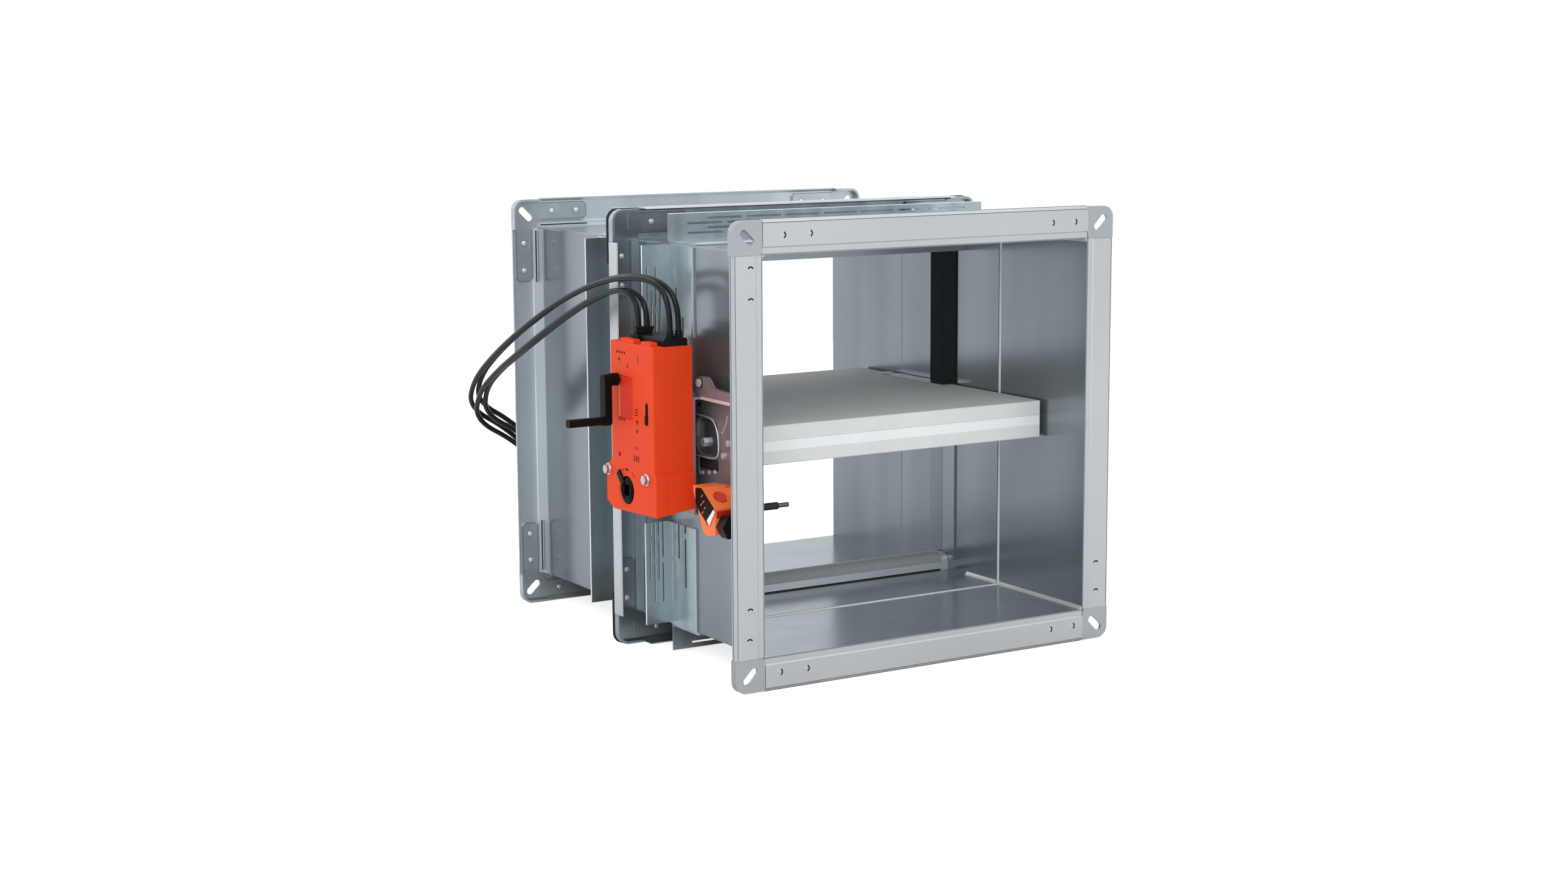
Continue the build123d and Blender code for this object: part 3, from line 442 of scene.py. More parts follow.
# Cables: the routes of the model, as smooth splines; x from the left wall, y, z
CABLE_RADIUS = 3.0
BOOT_TOP = 120.0
LYING = -232.0              # axis of a cable that lies on the floor
ROUTES = {
    "supply_cable": [
        (-42, 110, BOOT_TOP), (-42, 110, 146), (-47, 124, 166), (-53, 160, 171), (-58, 225, 163),
        (-65, 305, 138), (-72, 385, 102), (-74, 458, 66), (-74, 522, 28), (-65, 557, -9),
        (-13, 562, -39), (36, 564, -88), (78, 566, -144), (116, 566, -201), (170, 564, LYING),
        (222, 568, LYING)],
    "switch_cable": [
        (-32, 110, BOOT_TOP), (-32, 110, 145), (-38, 124, 165), (-46, 160, 172), (-51, 225, 165),
        (-58, 305, 141), (-65, 385, 105), (-67, 457, 70), (-67, 517, 34), (-59, 548, -1),
        (-10, 552, -30), (39, 555, -80), (82, 556, -137), (121, 556, -197), (176, 554, LYING),
        (228, 558, LYING)],
    "trip_cable": [
        (-52, 158, BOOT_TOP), (-52, 158, 139), (-55, 170, 154), (-58, 200, 155), (-61, 255, 139),
        (-66, 328, 108), (-71, 400, 73), (-72, 464, 43), (-72, 514, 13), (-62, 545, -23),
        (-10, 548, -52), (37, 543, -100), (74, 541, -157), (116, 540, -207), (170, 541, LYING),
        (220, 545, LYING)],
    "signal_cable": [
        (-42, 158, BOOT_TOP), (-42, 158, 138), (-46, 170, 153), (-50, 200, 156), (-54, 255, 141),
        (-59, 328, 110), (-64, 400, 75), (-65, 462, 47), (-65, 508, 19), (-55, 534, -15),
        (-5, 536, -42), (42, 531, -91), (78, 529, -148), (120, 528, -202), (176, 529, LYING),
        (226, 533, LYING)],
}

# Boots on the gland cover: ribs that get smaller upwards, as a profile of (radius, reach)
BOOT_LOW = 113.0
BOOT_RADIUS = 4.6
RIBS = 3
RIB_STEP = (BOOT_TOP - BOOT_LOW) / RIBS
RIB_TAPER = 0.25            # lost by each rib
GROOVE = 0.9                # depth of the first groove
GROOVE_TAPER = 0.2
BOOT = [(BOOT_RADIUS, 0.0)]
for i in range(RIBS):
    low, wide, narrow = i * RIB_STEP, BOOT_RADIUS - RIB_TAPER * i, BOOT_RADIUS - GROOVE - GROOVE_TAPER * i
    BOOT += [(wide, low + 0.05), (wide, low + RIB_STEP * 0.55),
             (narrow, low + RIB_STEP * 0.62), (narrow, low + RIB_STEP)]

# Wire ends: a core's insulation and the ferrule crimped on it
FERRULE_RADIUS = 0.85
FERRULE_LENGTH = 9.0
CORE_RADIUS = FERRULE_RADIUS * 1.25
CORE_LENGTH = 3.0
CORE_OFFSET = 1.35          # from the cable's axis
CORE_SIDES = 12


def spline_curve(name, points, radius):
    data = bpy.data.curves.new(name, "CURVE")
    data.dimensions = "3D"
    data.bevel_depth = radius * MM
    data.bevel_resolution = 4
    data.use_fill_caps = True
    data.resolution_u = 14
    line = data.splines.new("NURBS")
    line.points.add(len(points) - 1)
    for target, point in zip(line.points, points):
        target.co = (*(Vector(point) * MM), 1)
    line.order_u = 3
    line.use_endpoint_u = True
    return data


def wire_ends(name, points):
    """Two cores with crimped ferrules, standing out of a cable's end."""
    end, before = Vector(points[-1]), Vector(points[-2])
    along = (end - before).normalized()
    across = along.cross(Vector((0, 0, 1))).normalized()
    upward = across.cross(along)
    profile = ((0.0, CORE_RADIUS), (CORE_LENGTH, CORE_RADIUS), (CORE_LENGTH, FERRULE_RADIUS),
               (FERRULE_LENGTH, FERRULE_RADIUS * 0.95), (FERRULE_LENGTH, 0.2))
    shape = bmesh.new()
    for way in (-1, 1):
        rings = []
        for reach, radius in profile:
            ring = []
            for i in range(CORE_SIDES):
                angle = 2 * pi * i / CORE_SIDES
                spot = (end + along * reach + across * (way * CORE_OFFSET + radius * cos(angle))
                        + upward * radius * sin(angle))
                ring.append(shape.verts.new(spot * MM))
            rings.append(ring)
        add_closed(shape, rings)
    item = piece(name + "_ends", shape, TINNED)
    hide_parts("cable_ends")
    return item


for name, route in ROUTES.items():
    points = [(WALL + x, y, z) for x, y, z in route]
    lead = bpy.data.objects.new(name + "_lead", spline_curve(name + "_lead", points, CABLE_RADIUS))
    bpy.context.scene.collection.objects.link(lead)
    lead.data.materials.append(SHEATH)
    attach(lead, "root")
    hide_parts(name)
    ends = wire_ends(name, points)
    x, y, z = points[0]
    boot = turned_piece(name + "_boot", BOOT, [(x, y, BOOT_LOW)], (0, 0, 1), BLACK)
    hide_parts("cable_boots")


# Clinches that hold the rails on the corner pieces, on the front face, at (x, z); a dark crescent of
# painted shade marks each one's slit
MARK_LIFT = 0.12            # a mark's height over the face that carries it
MARK_SINK = 0.02            # and how far it reaches under that face
CLINCH_RADIUS = 3.9
CLINCH_WIDTH = 1.6
CLINCH_TURN = 124           # degrees of the circle that the crescent takes
LEVEL_CLINCHES = ((-177.3, 218.9), (-146.6, 219.4), (151.8, 218.5), (181.6, 218.5),
                  (-183.6, -216.5), (-152.1, -217.1), (155.0, -216.5), (185.6, -216.5))
UPRIGHT_CLINCHES = ((-214.0, 186.2), (-214.0, 155.5), (-217.0, -151.4), (-217.9, -182.1),
                    (217.0, -151.5), (217.6, -182.5))
PLAIN_LIDS = ((217.0, 182.0), (217.0, 151.0))
DOME = ((2.5, -0.05), (2.3, 0.16), (1.5, 0.36), (0.5, 0.45))
crescents = [arc_band(x, z, CLINCH_RADIUS - CLINCH_WIDTH, CLINCH_RADIUS, first, first + CLINCH_TURN, 14)
             for spots, first in ((LEVEL_CLINCHES, -62), (UPRIGHT_CLINCHES, 28)) for x, z in spots]
prisms("front_clinch_shadows", crescents, -MARK_LIFT, MARK_SINK, face, HOLE_SHADE)
turned_piece("front_clinch_lids", DOME,
             [(x, 0, z) for x, z in LEVEL_CLINCHES + UPRIGHT_CLINCHES + PLAIN_LIDS],
             (0, -1, 0), RAIL)

# The same clinches on the legs behind the rear flange and the middle frame, as bright dots painted as
# highlights
REAR_LEG = 496.1            # front faces of the corner legs
MIDDLE_LEG = 256.1
LEG_CENTRE = 220.0
CORNERS = ((-1, 1), (1, 1), (1, -1), (-1, -1))
DOT_REACHES = (153.0, 184.0)
DOT = ((3.1, -0.05), (2.9, 0.3), (2.2, 0.75), (1.1, 1.05), (0.3, 1.12))
DOT_RING = ((3.9, -0.05), (3.7, 0.12), (3.2, 0.14))
dots = []
for x, z in CORNERS:
    for reach in DOT_REACHES:
        dots += [(x * reach, z * LEG_CENTRE), (x * LEG_CENTRE, z * reach)]
for name, plane in (("rear_clinch", REAR_LEG), ("middle_clinch", MIDDLE_LEG)):
    places = [(x, plane, z) for x, z in dots]
    turned_piece(name + "_highlight_dots", DOT, places, (0, -1, 0), HIGHLIGHT_ZINC, count=14)
    turned_piece(name + "_rings", DOT_RING, places, (0, -1, 0), DULL_STEEL, count=14)

# Seams inside the duct, painted bright as highlights: a bead where two sections meet, and the folds of the
# corners
FRONT_SEAM = 155.0
REAR_SEAM = 345.0
BEAD_WIDTH = 3.8
BEAD_RISE = 1.2
BEAD_INSET = 0.3            # short of the corner at each end


def seam_bead(name, inner, outer, half, look):
    """A rounded bead round the duct between two places along the air path."""
    middle = (inner + outer) / 2
    profile = [(half, inner), (half - BEAD_RISE * 0.7, inner + (middle - inner) * 0.4),
               (half - BEAD_RISE, middle), (half - BEAD_RISE * 0.7, outer - (outer - middle) * 0.4),
               (half, outer)]
    shape = bmesh.new()
    reach = half - BEAD_INSET
    for c, s in QUARTERS:
        add_prism(shape, profile, -reach, reach, lambda u, v, w: (c * u - s * w, v, s * u + c * w))
    piece(name, shape, look)


seam_bead("front_seam_bead", FRONT_SEAM - BEAD_WIDTH, FRONT_SEAM, DUCT, FRONT_HIGHLIGHT_ZINC)
seam_bead("rear_seam_bead", REAR_SEAM, REAR_SEAM + BEAD_WIDTH * 0.6, DUCT, HIGHLIGHT_ZINC)


def ribbon(points, width):
    """A closed outline round a polyline, offset to its right by the width."""
    inner = []
    for i, point in enumerate(points):
        before, after = points[max(i - 1, 0)], points[min(i + 1, len(points) - 1)]
        along = (Vector(after) - Vector(before)).normalized()
        inner.append((point[0] + along.y * width, point[1] - along.x * width))
    return points + inner[::-1]


# Front rails: bright bevels, folded lips and thin lines of painted shade in their creases
RAIL_END = 199.8
RAIL_BEVEL = 3.2
LIP_END = 5.4
CREASE_WIDTH = 0.6
SKIN = 0.05                 # how far a strip stands over the sheet it lies on


def rail_strips(name, profiles, look):
    """Strips along four rails: closed profiles of (radial, Y)."""
    shape = bmesh.new()
    for c, s in QUARTERS:
        for profile in profiles:
            add_prism(shape, profile, -RAIL_END, RAIL_END, along_side(c, s))
    piece(name, shape, look)


bevel_start = FLANGE - RAIL_BEVEL
rail_strips("front_rail_bevels", [[(bevel_start + SKIN, -SKIN), (FLANGE + SKIN, RAIL_BEVEL - SKIN),
                                   (FLANGE - SKIN, RAIL_BEVEL + SKIN), (bevel_start - SKIN, SKIN)]], BEVEL)
# The lips take the darker section zinc, as painted shade
rail_strips("front_rail_shaded_lips", [box(FLANGE - SKIN, FLANGE + SKIN, RAIL_BEVEL + 0.3, LIP_END)],
            UPRIGHT)
rail_strips("front_rail_crease_shade",
            [box(bevel_start - CREASE_WIDTH - 0.1, bevel_start - 0.1, -SKIN, SKIN),
             [(FLANGE - 0.25, RAIL_BEVEL - 0.4), (FLANGE + 2 * SKIN, RAIL_BEVEL - 0.1),
              (FLANGE + 2 * SKIN, RAIL_BEVEL + 0.2), (FLANGE - SKIN, RAIL_BEVEL + 0.2)]], CREASE_SHADE)

# Folds in the duct's four corners
FOLD = 3.4
FOLD_FROM, FOLD_TO = 2.0, 212.0


def fold_strips(name, half, y0, y1):
    """A rounded fill in each corner between two places along the air path."""
    shape = bmesh.new()
    for x, z in CORNERS:
        corner = [(x * half, z * half), (x * (half - FOLD), z * half),
                  (x * (half - FOLD * 0.42), z * (half - FOLD * 0.42)), (x * half, z * (half - FOLD))]
        add_prism(shape, corner, y0, y1, face)
    piece(name, shape, HIGHLIGHT_ZINC)


fold_strips("front_folds", DUCT, FOLD_FROM, FRONT_SEAM - BEAD_WIDTH)
fold_strips("middle_folds", MIDDLE_DUCT, FRONT_SEAM, FOLD_TO)

# Painted shadow in the gaps where the corner legs meet the rails' feet on the rear flange
GAP_FROM, GAP_TO = 139.0, 198.0
GAP_OUT, GAP_IN = 204.9, 203.7
GAP_FRONT, GAP_BACK = 0.9, 1.3      # behind the legs' front faces
lines = []
for sign in (-1, 1):
    for way in (-1, 1):
        z0, z1 = sorted((way * GAP_FROM, way * GAP_TO))
        low, high = sorted((sign * GAP_IN, sign * GAP_OUT))
        lines += [box(low, high, z0, z1), box(z0, z1, low, high)]
prisms("rear_leg_gap_shadows", lines, REAR_LEG + GAP_FRONT, REAR_LEG + GAP_BACK, face, HOLE_SHADE)

# Shadow line at the lower stop's foot
STOP_FRONT = 249.0
STOP_REACH = 188.0
prisms("stop_foot_shadow", [box(-STOP_REACH, STOP_REACH, -MIDDLE_DUCT + 0.05, -MIDDLE_DUCT + 1.5)],
       STOP_FRONT - 0.15, STOP_FRONT, face, HOLE_SHADE)

# Thin lines of painted shade along the pressed outlines round the legs of the rear and middle corner
# pieces
LEG_HALF = 10.0
LEG_END, LEG_START = 140.4, 199.0
CUT = 4.0                   # cut corners of a leg's end
OUTLINE = 0.5


def leg_outline(sign_x, sign_z, upright):
    """Three sides of a leg in one corner, run so that the ribbon's width lies inside."""
    low, high = LEG_CENTRE - LEG_HALF + 0.3, LEG_CENTRE + LEG_HALF - 0.3
    points = [(LEG_START, low), (LEG_END + CUT, low), (LEG_END, low + CUT), (LEG_END, high - CUT),
              (LEG_END + CUT, high), (LEG_START, high)]
    points = [(b, a) if upright else (a, b) for a, b in points]
    points = [(sign_x * a, sign_z * b) for a, b in points]
    return points if (sign_x * sign_z > 0) != upright else points[::-1]


for name, plane in (("rear", REAR_LEG), ("middle", MIDDLE_LEG)):
    lines = [ribbon(leg_outline(x, z, upright), OUTLINE)
             for x in (-1, 1) for z in (-1, 1) for upright in (False, True)]
    prisms(name + "_leg_outline_shade", lines, plane - SKIN, plane + SKIN, face, CREASE_SHADE)

# Bright lips of the middle frame, with a painted highlight along their edges
MIDDLE_PLANE = 260.0
MIDDLE_LIP = 239.0
rail_strips("middle_lips",
            [box(FLANGE - SKIN, FLANGE + SKIN, MIDDLE_LIP + 0.6, MIDDLE_PLANE - RAIL_BEVEL)], LIP)
rail_strips("middle_lip_highlights",
            [box(FLANGE - 1.1, FLANGE - 0.1, MIDDLE_LIP - SKIN, MIDDLE_LIP + SKIN)], EDGE_HIGHLIGHT)

# Painted highlights along the cut edges of the angles round the casing; the left slotted angle is in two
# pieces
ANGLE_EDGE = 231.5
ANGLE_SHEET = 0.5           # how deep the strip reaches into the edge
CUT_EDGE = 0.12             # and how far it stands over it
WHOLE = ((-DUCT, DUCT),)
PARTED = ((-DUCT, -91.0), (108.0, DUCT))
for name, front, back, left in (("slotted_edge_highlights", 190.2, 191.6, PARTED),
                                ("plain_edge_highlights", 317.9, 319.6, WHOLE)):
    bar = box(ANGLE_EDGE - ANGLE_SHEET, ANGLE_EDGE + CUT_EDGE, front, back)
    shape = bmesh.new()
    for (c, s), spans in zip(QUARTERS, (WHOLE, WHOLE, WHOLE, left)):
        for low, high in spans:
            add_prism(shape, bar, low, high, along_side(c, s))
    piece(name, shape, EDGE_HIGHLIGHT)

# Actuator: plain marks pressed into its face, the recess's panel with lighter ribs painted as highlights,
# and the lock slot painted dark as its shade
marks = [box(156.5 + 5.4 * i, 159.6 + 5.4 * i, 93.2, 95.8) for i in range(4)]
marks += [circle(169.5, 87.2, 1.9, 14), [(150.4, 80.0), (153.6, 80.0), (151.6, 84.2)],
          arc_band(137.0, 90.5, 7.6, 8.5, 150, 212, 10)]
marks += [box(130.6, 137.6, z, z + 1.0) for z in (38.4, 35.6, 32.8)]
marks += [[(130.0, 27.6), (135.4, 27.6), (132.4, 23.0)], circle(132.6, 17.0, 1.9, 14)]
marks += [box(158.4 + 4.0 * i, 160.6 + 4.0 * i, 24.4, 26.8) for i in range(4)]
marks += [circle(171.5, -11.2, 2.3, 16), arc_band(134.4, -3.6, 3.2, 4.1, 20, 170, 12)]
marks += [box(y0, y1, -14.6, -8.6) for y0, y1 in ((129.6, 131.8), (133.9, 136.1), (138.2, 140.4))]
marks += [arc_band(*SPINDLE, 21.6, 22.5, 32, 78, 16), arc_band(*SPINDLE, 20.4, 22.8, 84, 100, 8),
          arc_band(*SPINDLE, 22.6, 23.4, 118, 140, 8)]
prisms("actuator_marks", marks, COVER_FACE - MARK_LIFT, COVER_FACE + MARK_SINK, side, MARK)

RECESS_FRONT, RECESS_REAR = 141.5, 174.5
RECESS_LOW, RECESS_HIGH = 27.0, 71.0
RECESS_DEPTH = 1.0
RECESS_GAP = 0.3            # round the panel
PANEL_REAR = RECESS_REAR - 5.2
prisms("recess_panel", [rounded_box(RECESS_FRONT + RECESS_GAP, PANEL_REAR, RECESS_LOW + RECESS_GAP,
                                    RECESS_HIGH - RECESS_GAP, 1.6)],
       COVER_FACE + RECESS_DEPTH - 0.25, COVER_FACE + RECESS_DEPTH, side, RED_ORANGE)
prisms("recess_rib_highlights", [box(RECESS_REAR - 4.4, RECESS_REAR - 3.4, RECESS_LOW + 1, RECESS_HIGH - 1),
                       box(RECESS_REAR - 2.0, RECESS_REAR - 1.1, RECESS_LOW + 1, RECESS_HIGH - 1)],
       COVER_FACE + RECESS_GAP, COVER_FACE + RECESS_DEPTH, side, TRIP_ORANGE)

LOCK = (112.0, 36.5)        # Y and Z of the slot's middle
LOCK_SLOT = (23.0, 5.5)     # length and width
LOCK_DEPTH = 4.0


def slot_outline(y, z, length, width):
    """An upright slot with round ends."""
    count, points = 8, []
    for way, first in ((1, 0), (-1, 180)):
        for i in range(count + 1):
            angle = radians(first + 180 * i / count)
            points.append((y + width / 2 * cos(angle),
                           z + way * (length - width) / 2 + width / 2 * sin(angle)))
    return points


tube_piece("lock_slot_shade_lining", slot_outline(*LOCK, *LOCK_SLOT),
           slot_outline(*LOCK, LOCK_SLOT[0] - 0.6, LOCK_SLOT[1] - 0.6),
           COVER_FACE + 0.1, COVER_FACE + LOCK_DEPTH, HOLE_SHADE)
prisms("lock_slot_shade_floor", [slot_outline(*LOCK, LOCK_SLOT[0] - 0.4, LOCK_SLOT[1] - 0.4)],
       COVER_FACE + LOCK_DEPTH - 0.12, COVER_FACE + LOCK_DEPTH, side, HOLE_SHADE)

# Spindle: a collar in the opening, and the lobed clamp hub that turns in it; painted shade lines the
# opening and the square bore
OPENING = 17.5
COLLAR = 14.6
COLLAR_DEPTH = 2.5
HUB_RADIUS = 13.4
HUB_LOBE = 0.8
HUB_DEPTH = 11.0
SQUARE = 6.0                # half the width of the square bore
ROUND = 48                  # points round the spindle
collar = tube_piece("spindle_collar", circle(*SPINDLE, OPENING, ROUND), circle(*SPINDLE, COLLAR, ROUND),
                    COVER_FACE + 0.2, COVER_FACE + COLLAR_DEPTH, ORANGE)
soften(collar, 0.4)
tube_piece("spindle_shade_lining", circle(*SPINDLE, COLLAR + 0.1, ROUND), circle(*SPINDLE, COLLAR - 0.3, ROUND),
           COVER_FACE + 0.5, COVER_FACE + HUB_DEPTH, HOLE_SHADE)
lobed, square = [], []
for i in range(ROUND):
    angle = 2 * pi * i / ROUND
    reach = HUB_RADIUS + HUB_LOBE * cos(3 * angle - 0.6)
    lobed.append((SPINDLE[0] + reach * cos(angle), SPINDLE[1] + reach * sin(angle)))
    reach = SQUARE / max(abs(cos(angle)), abs(sin(angle)))
    square.append((SPINDLE[0] + reach * cos(angle), SPINDLE[1] + reach * sin(angle)))
shape = bmesh.new()
add_tube(shape, lobed, square, COVER_FACE - 0.4, COVER_FACE + HUB_DEPTH, side)
add_tube(shape, circle(*SPINDLE, 10.6, ROUND), circle(*SPINDLE, 8.9, ROUND),
         COVER_FACE - 1.2, COVER_FACE - 0.3, side)
hub = piece("clamp_hub", shape, DEEP_BLACK, "drive")
soften(hub, 0.5)
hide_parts("spindle_hub")
prisms("spindle_bore_shade", [square], COVER_FACE + HUB_DEPTH - 5.0, COVER_FACE + HUB_DEPTH - 4.6, side, HOLE_SHADE,
       "drive")

# Seam between the housing's halves, on its front face
SEAM_X = -256.1
SEAM_WIDTH = 0.3
HOUSING_FRONT = 98.0
SEAM_LIFT = 0.04
prisms("housing_seam", [box(SEAM_X - SEAM_WIDTH / 2, SEAM_X + SEAM_WIDTH / 2, -24.0, 103.0)],
       HOUSING_FRONT - SEAM_LIFT, HOUSING_FRONT + SEAM_LIFT, face, RED_ORANGE)

# Trip unit: white wedge and ticks on its black face, a raised flap, a dark red band of painted shade under
# its lip, and a pip beside the button painted as a highlight
LABEL_FACE = TRIP_FACE - 0.8
prisms("trip_wedge", [[(29.9, -50.6), (43.4, -63.6), (38.8, -68.6), (27.0, -52.6)]],
       LABEL_FACE - 0.25, LABEL_FACE, side, WHITE)
ticks = [[(y, z), (y + 3.2, z - 2.8), (y + 2.5, z - 3.5), (y - 0.7, z - 0.7)]
         for y, z in ((51.5, -38.6), (48.5, -44.0), (53.0, -47.4), (46.0, -50.0), (50.0, -55.0))]
prisms("trip_ticks", ticks, LABEL_FACE - 0.2, LABEL_FACE, side, TRIP_ORANGE)

TRIP_FRONT = 28.0
PIP = ((1.3, 0.0), (1.2, 0.5), (0.7, 0.9), (0.2, 1.0))
BUTTON_AXIS = (0, -0.57, 0.82)
prisms("label_flap", [[(54.9, -32.9), (64.6, -33.6), (66.2, -35.6), (66.2, -48.0), (61.0, -42.4)]],
       LABEL_FACE + 0.1, TRIP_FACE, side, DEEP_BLACK)
prisms("trip_band_shade", [rounded_box(-238.4, -215.0, -60.0, -52.2, 1.5)],
       TRIP_FRONT - MARK_LIFT, TRIP_FRONT, face, SHADE_RED)
turned_piece("button_highlight_pip", PIP, [(-219.6, 38.2, -43.4)], BUTTON_AXIS, TRIP_ORANGE,
             count=14)

# Clip round the rear cable pair, and its foot beside the gland cover
CUP = [(-259.4, 120.4), (-237.6, 120.4), (-240.4, 112.9), (-256.6, 112.9)]
prisms("cable_clip", [CUP], 153.0, 163.0, face, BLACK, edge=0.6)
prisms("clip_foot", [box(148.0, 166.0, 105.2, 112.6)], -258.6, -255.9, side, DEEP_BLACK,
       edge=0.6)

# Mounting bracket: hooked sheet on its ledge, painted highlights on the ledge edge, on the hoop round its
# window and on the plate's creases, and painted shade in the ear's hole and the plate's slot
LEDGE_PLANE = -216.5
HOOK_SHEET = 1.5
HOOK_FLANGE = 4.6
HOOK_RIM = 1.2
HOOK_TOP = [(107.0, 52.3), (107.3, 66.0), (105.6, 69.6), (101.0, 72.2), (95.0, 73.2), (86.0, 73.2),
            (82.0, 71.4), (78.3, 68.1), (75.0, 65.0), (71.8, 63.4), (58.0, 62.4), (38.0, 62.0)]
HOOK_FOOT = [(38.0, 52.0), (95.8, 52.0), (95.8, 52.3)]
shape = bmesh.new()
add_prism(shape, HOOK_TOP + HOOK_FOOT, LEDGE_PLANE, LEDGE_PLANE + HOOK_SHEET, side)
add_prism(shape, ribbon(HOOK_TOP[1:][::-1], HOOK_RIM), LEDGE_PLANE - 0.2, LEDGE_PLANE + HOOK_FLANGE, side)
hooked = piece("hooked_bracket", shape, HOOK_REFLECTING_ORANGE)
soften(hooked, 0.35)
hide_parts("upper_bracket")
prisms("ear_hole_shade", [circle(96.8, 66.6, 5.6, 28)], LEDGE_PLANE - 0.15, LEDGE_PLANE, side, HOLE_SHADE)
prisms("ledge_edge_highlight", [box(38.2, 95.8, 49.6, 52.9)], LEDGE_PLANE - 0.7, LEDGE_PLANE, side, HIGHLIGHT_ZINC,
       edge=0.5)
HOOP = [(123.0, 30.0), (108.0, 30.0), (97.0, 29.4), (90.0, 27.4), (85.4, 23.6), (82.4, 18.6), (80.2, 12.0),
        (79.2, 4.0), (79.6, -3.0), (82.6, -7.6), (88.0, -9.8), (98.0, -10.6), (124.0, -10.8)]
prisms("window_hoop_highlight", [ribbon(HOOP, 1.7)], -207.2, -205.9, side, HIGHLIGHT_ZINC, edge=0.5)
prisms("plate_crease_highlights", [ribbon([(65.4, 36.0), (66.6, 31.0), (69.0, 25.5), (74.5, 18.1)], 0.8),
                         ribbon([(80.6, 17.6), (77.2, 16.5), (73.8, 16.2)], 0.9),
                         ribbon([(123.7, -12.7), (124.0, -29.0)], 1.0)],
       PLATE_FACE - 0.8, PLATE_FACE, side, SCREW_HEAD, edge=0.2)
RIVET = ((2.3, 0.0), (2.2, 0.7), (1.5, 1.3), (0.4, 1.5))
RIVETS = ((121.4, -30.0), (116.6, -29.2), (103.6, -27.2), (91.0, -25.0))
turned_piece("plate_rivets", RIVET, [(PLATE_FACE, y, z) for y, z in RIVETS], (-1, 0, 0), SCREW_HEAD,
             count=16)
prisms("plate_pad", [rounded_box(84.0, 122.6, -24.0, -12.6, 2.0)], PLATE_FACE - 0.5, PLATE_FACE, side,
       PAD)
prisms("plate_slot_shade", [box(119.0, 125.6, 38.6, 43.0)], PLATE_FACE - 0.15, PLATE_FACE, side, HOLE_SHADE)

# Floor, lights and camera
FLOOR = -235.0
FLOOR_SIZE = 2.6            # metres from the middle to each side
FLOOR_GLOW = 0.75           # what the camera sees beyond the floor's own light, so it is white
floor_mesh = bpy.data.meshes.new("floor")
floor_mesh.from_pydata([(x * FLOOR_SIZE, y * FLOOR_SIZE, FLOOR * MM)
                        for x, y in ((-1, -1), (1, -1), (1, 1), (-1, 1))], [], [(0, 1, 2, 3)])
floor = bpy.data.objects.new("floor", floor_mesh)
bpy.context.scene.collection.objects.link(floor)
pale = Look("pale_floor", 0.9)
pale.colour(pale.noise(300.0, 2.0), (0.76, 0.77, 0.78), (0.80, 0.81, 0.82))
glow = pale.add("ShaderNodeEmission")
glow.inputs["Color"].default_value = (1, 1, 1, 1)
glow.inputs["Strength"].default_value = FLOOR_GLOW
lit = pale.add("ShaderNodeAddShader")
pale.link(pale.shader.outputs["BSDF"], lit.inputs[0])
pale.link(glow.outputs["Emission"], lit.inputs[1])
seen = pale.add("ShaderNodeLightPath")
either = pale.add("ShaderNodeMixShader")
pale.link(seen.outputs["Is Camera Ray"], either.inputs["Fac"])
pale.link(pale.shader.outputs["BSDF"], either.inputs[1])
pale.link(lit.outputs["Shader"], either.inputs[2])
pale.link(either.outputs["Shader"], pale.tree.nodes["Material Output"].inputs["Surface"])
floor_mesh.materials.append(pale.material)

scene = bpy.context.scene
scene.view_settings.view_transform = "Standard"


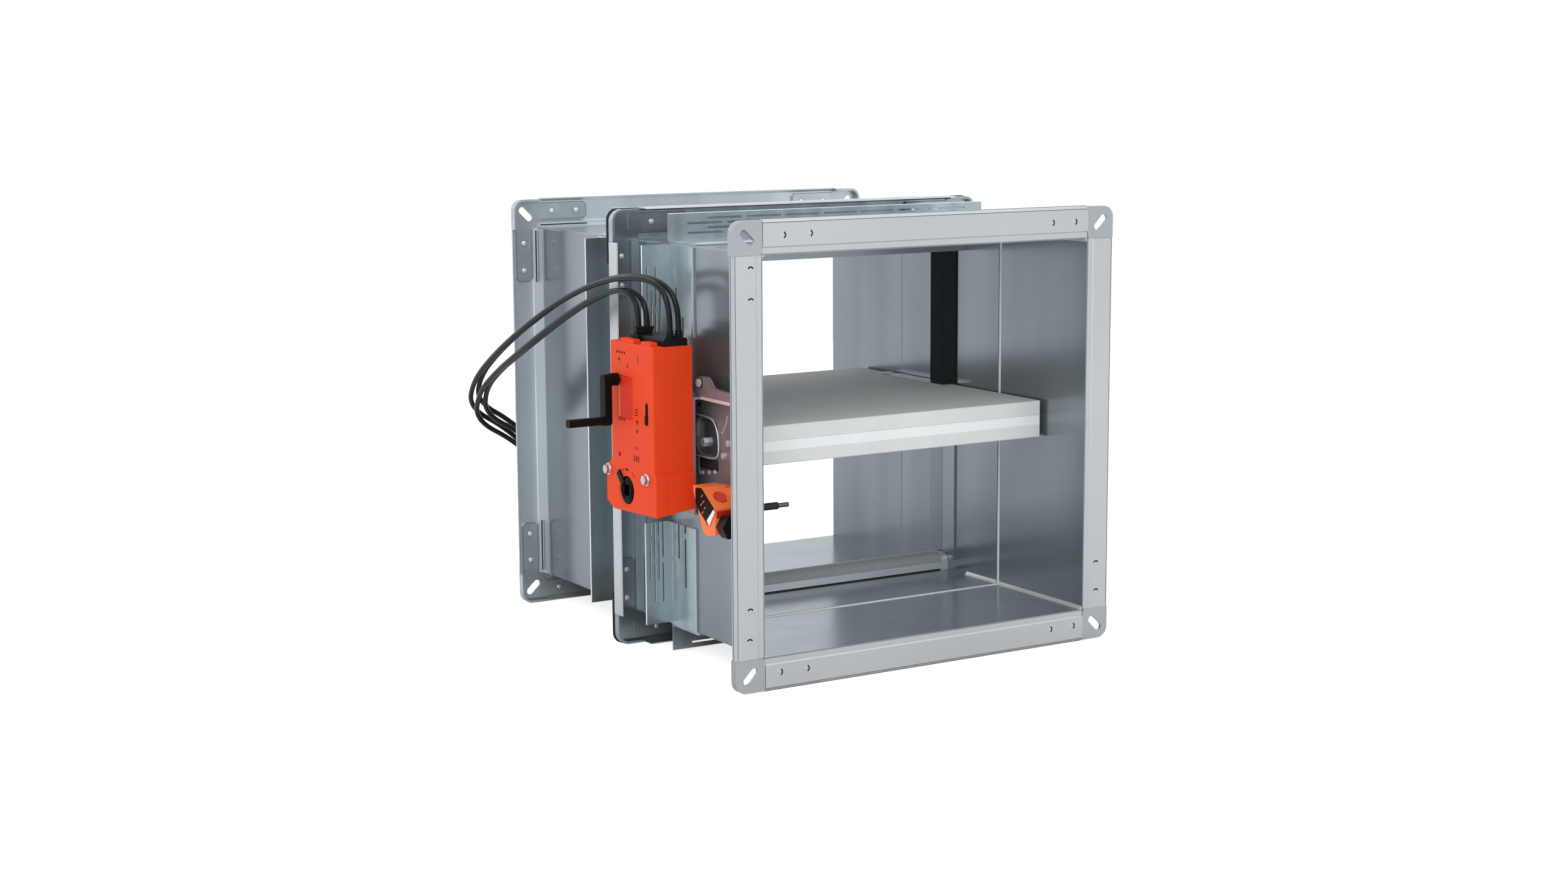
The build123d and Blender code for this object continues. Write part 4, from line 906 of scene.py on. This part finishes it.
def studio(tone, strength, band_size):
    """A plain room of soft light: white behind the object, with soft upright bands all round."""
    world = bpy.data.worlds.new("studio")
    scene.world = world
    world.use_nodes = True
    tree = world.node_tree
    tree.nodes.clear()
    link = tree.links.new

    def ramp(value, *ends):
        """The value spread from the first two numbers to the last two."""
        node = add_node(tree, "ShaderNodeMapRange")
        for socket, end in zip(("From Min", "From Max", "To Min", "To Max"), ends):
            node.inputs[socket].default_value = end
        link(value, node.inputs["Value"])
        return node.outputs["Result"]

    def times(first, second):
        node = add_node(tree, "ShaderNodeMath", operation="MULTIPLY")
        link(first, node.inputs[0])
        link(second, node.inputs[1])
        return node.outputs["Value"]

    def background(colour, level):
        node = add_node(tree, "ShaderNodeBackground")
        node.inputs["Color"].default_value = (*colour, 1)
        node.inputs["Strength"].default_value = level
        return node

    direction = add_node(tree, "ShaderNodeTexCoord").outputs["Generated"]
    mapping = add_node(tree, "ShaderNodeMapping")
    mapping.inputs["Scale"].default_value = (1 / band_size, 1 / band_size, 0.5)
    link(direction, mapping.inputs["Vector"])
    bands = add_node(tree, "ShaderNodeTexNoise")
    bands.inputs["Scale"].default_value = 1.0
    bands.inputs["Detail"].default_value = 1.0
    link(mapping.outputs["Vector"], bands.inputs["Vector"])
    split = add_node(tree, "ShaderNodeSeparateXYZ")
    link(direction, split.inputs["Vector"])
    banded = ramp(bands.outputs["Fac"], 0.3, 0.7, 0.72, 1.18)
    lit_above = ramp(split.outputs["Z"], -0.3, 0.7, 0.86, 1.12)
    dim_right = ramp(split.outputs["X"], 0.42, 0.72, 1.0, 0.80)
    level = add_node(tree, "ShaderNodeMath", operation="MULTIPLY")
    link(times(times(banded, lit_above), dim_right), level.inputs[0])
    level.inputs[1].default_value = strength
    room = background(tone, 1.0)
    link(level.outputs["Value"], room.inputs["Strength"])
    white = background((1, 1, 1), 1.05)
    seen = add_node(tree, "ShaderNodeLightPath")
    mix = add_node(tree, "ShaderNodeMixShader")
    link(seen.outputs["Is Camera Ray"], mix.inputs["Fac"])
    link(room.outputs["Background"], mix.inputs[1])
    link(white.outputs["Background"], mix.inputs[2])
    out = add_node(tree, "ShaderNodeOutputWorld")
    link(mix.outputs["Shader"], out.inputs["Surface"])


studio((0.93, 0.97, 1.0), 1.12, 0.35)


def soft_light(name, place, target, size, power):
    lamp = bpy.data.lights.new(name, "AREA")
    lamp.shape = "RECTANGLE"
    lamp.size, lamp.size_y = size
    lamp.energy = power
    item = bpy.data.objects.new(name, lamp)
    scene.collection.objects.link(item)
    item.location = place
    item.rotation_mode = "QUATERNION"
    item.rotation_quaternion = (Vector(target) - Vector(place)).to_track_quat("-Z", "Y")


soft_light("key", (-1.9, -2.4, 1.7), (0, 0.2, 0), (1.6, 1.6), 22)

# Camera fitted to the photograph's view of the two flanges
CAMERA_PLACE = (-1381.7935, -1968.6979, 373.4045)
YAW, PITCH, ROLL = 0.5491, 0.1535, -0.0053
LENS, SENSOR = 54.458, 36.0
camera_data = bpy.data.cameras.new("camera")
camera_data.lens = LENS
camera_data.sensor_width = SENSOR
camera_data.clip_start, camera_data.clip_end = 0.05, 100.0
camera = bpy.data.objects.new("camera", camera_data)
scene.collection.objects.link(camera)
ahead = Vector((sin(YAW) * cos(PITCH), cos(YAW) * cos(PITCH), -sin(PITCH)))
level = Vector((cos(YAW), -sin(YAW), 0))
lift = level.cross(ahead)
right = cos(ROLL) * level + sin(ROLL) * lift
upward = -sin(ROLL) * level + cos(ROLL) * lift
basis = Matrix((right, upward, -ahead)).transposed()
camera.matrix_world = Matrix.Translation(Vector(CAMERA_PLACE) * MM) @ basis.to_4x4()
scene.camera = camera

bpy.context.view_layer.update()
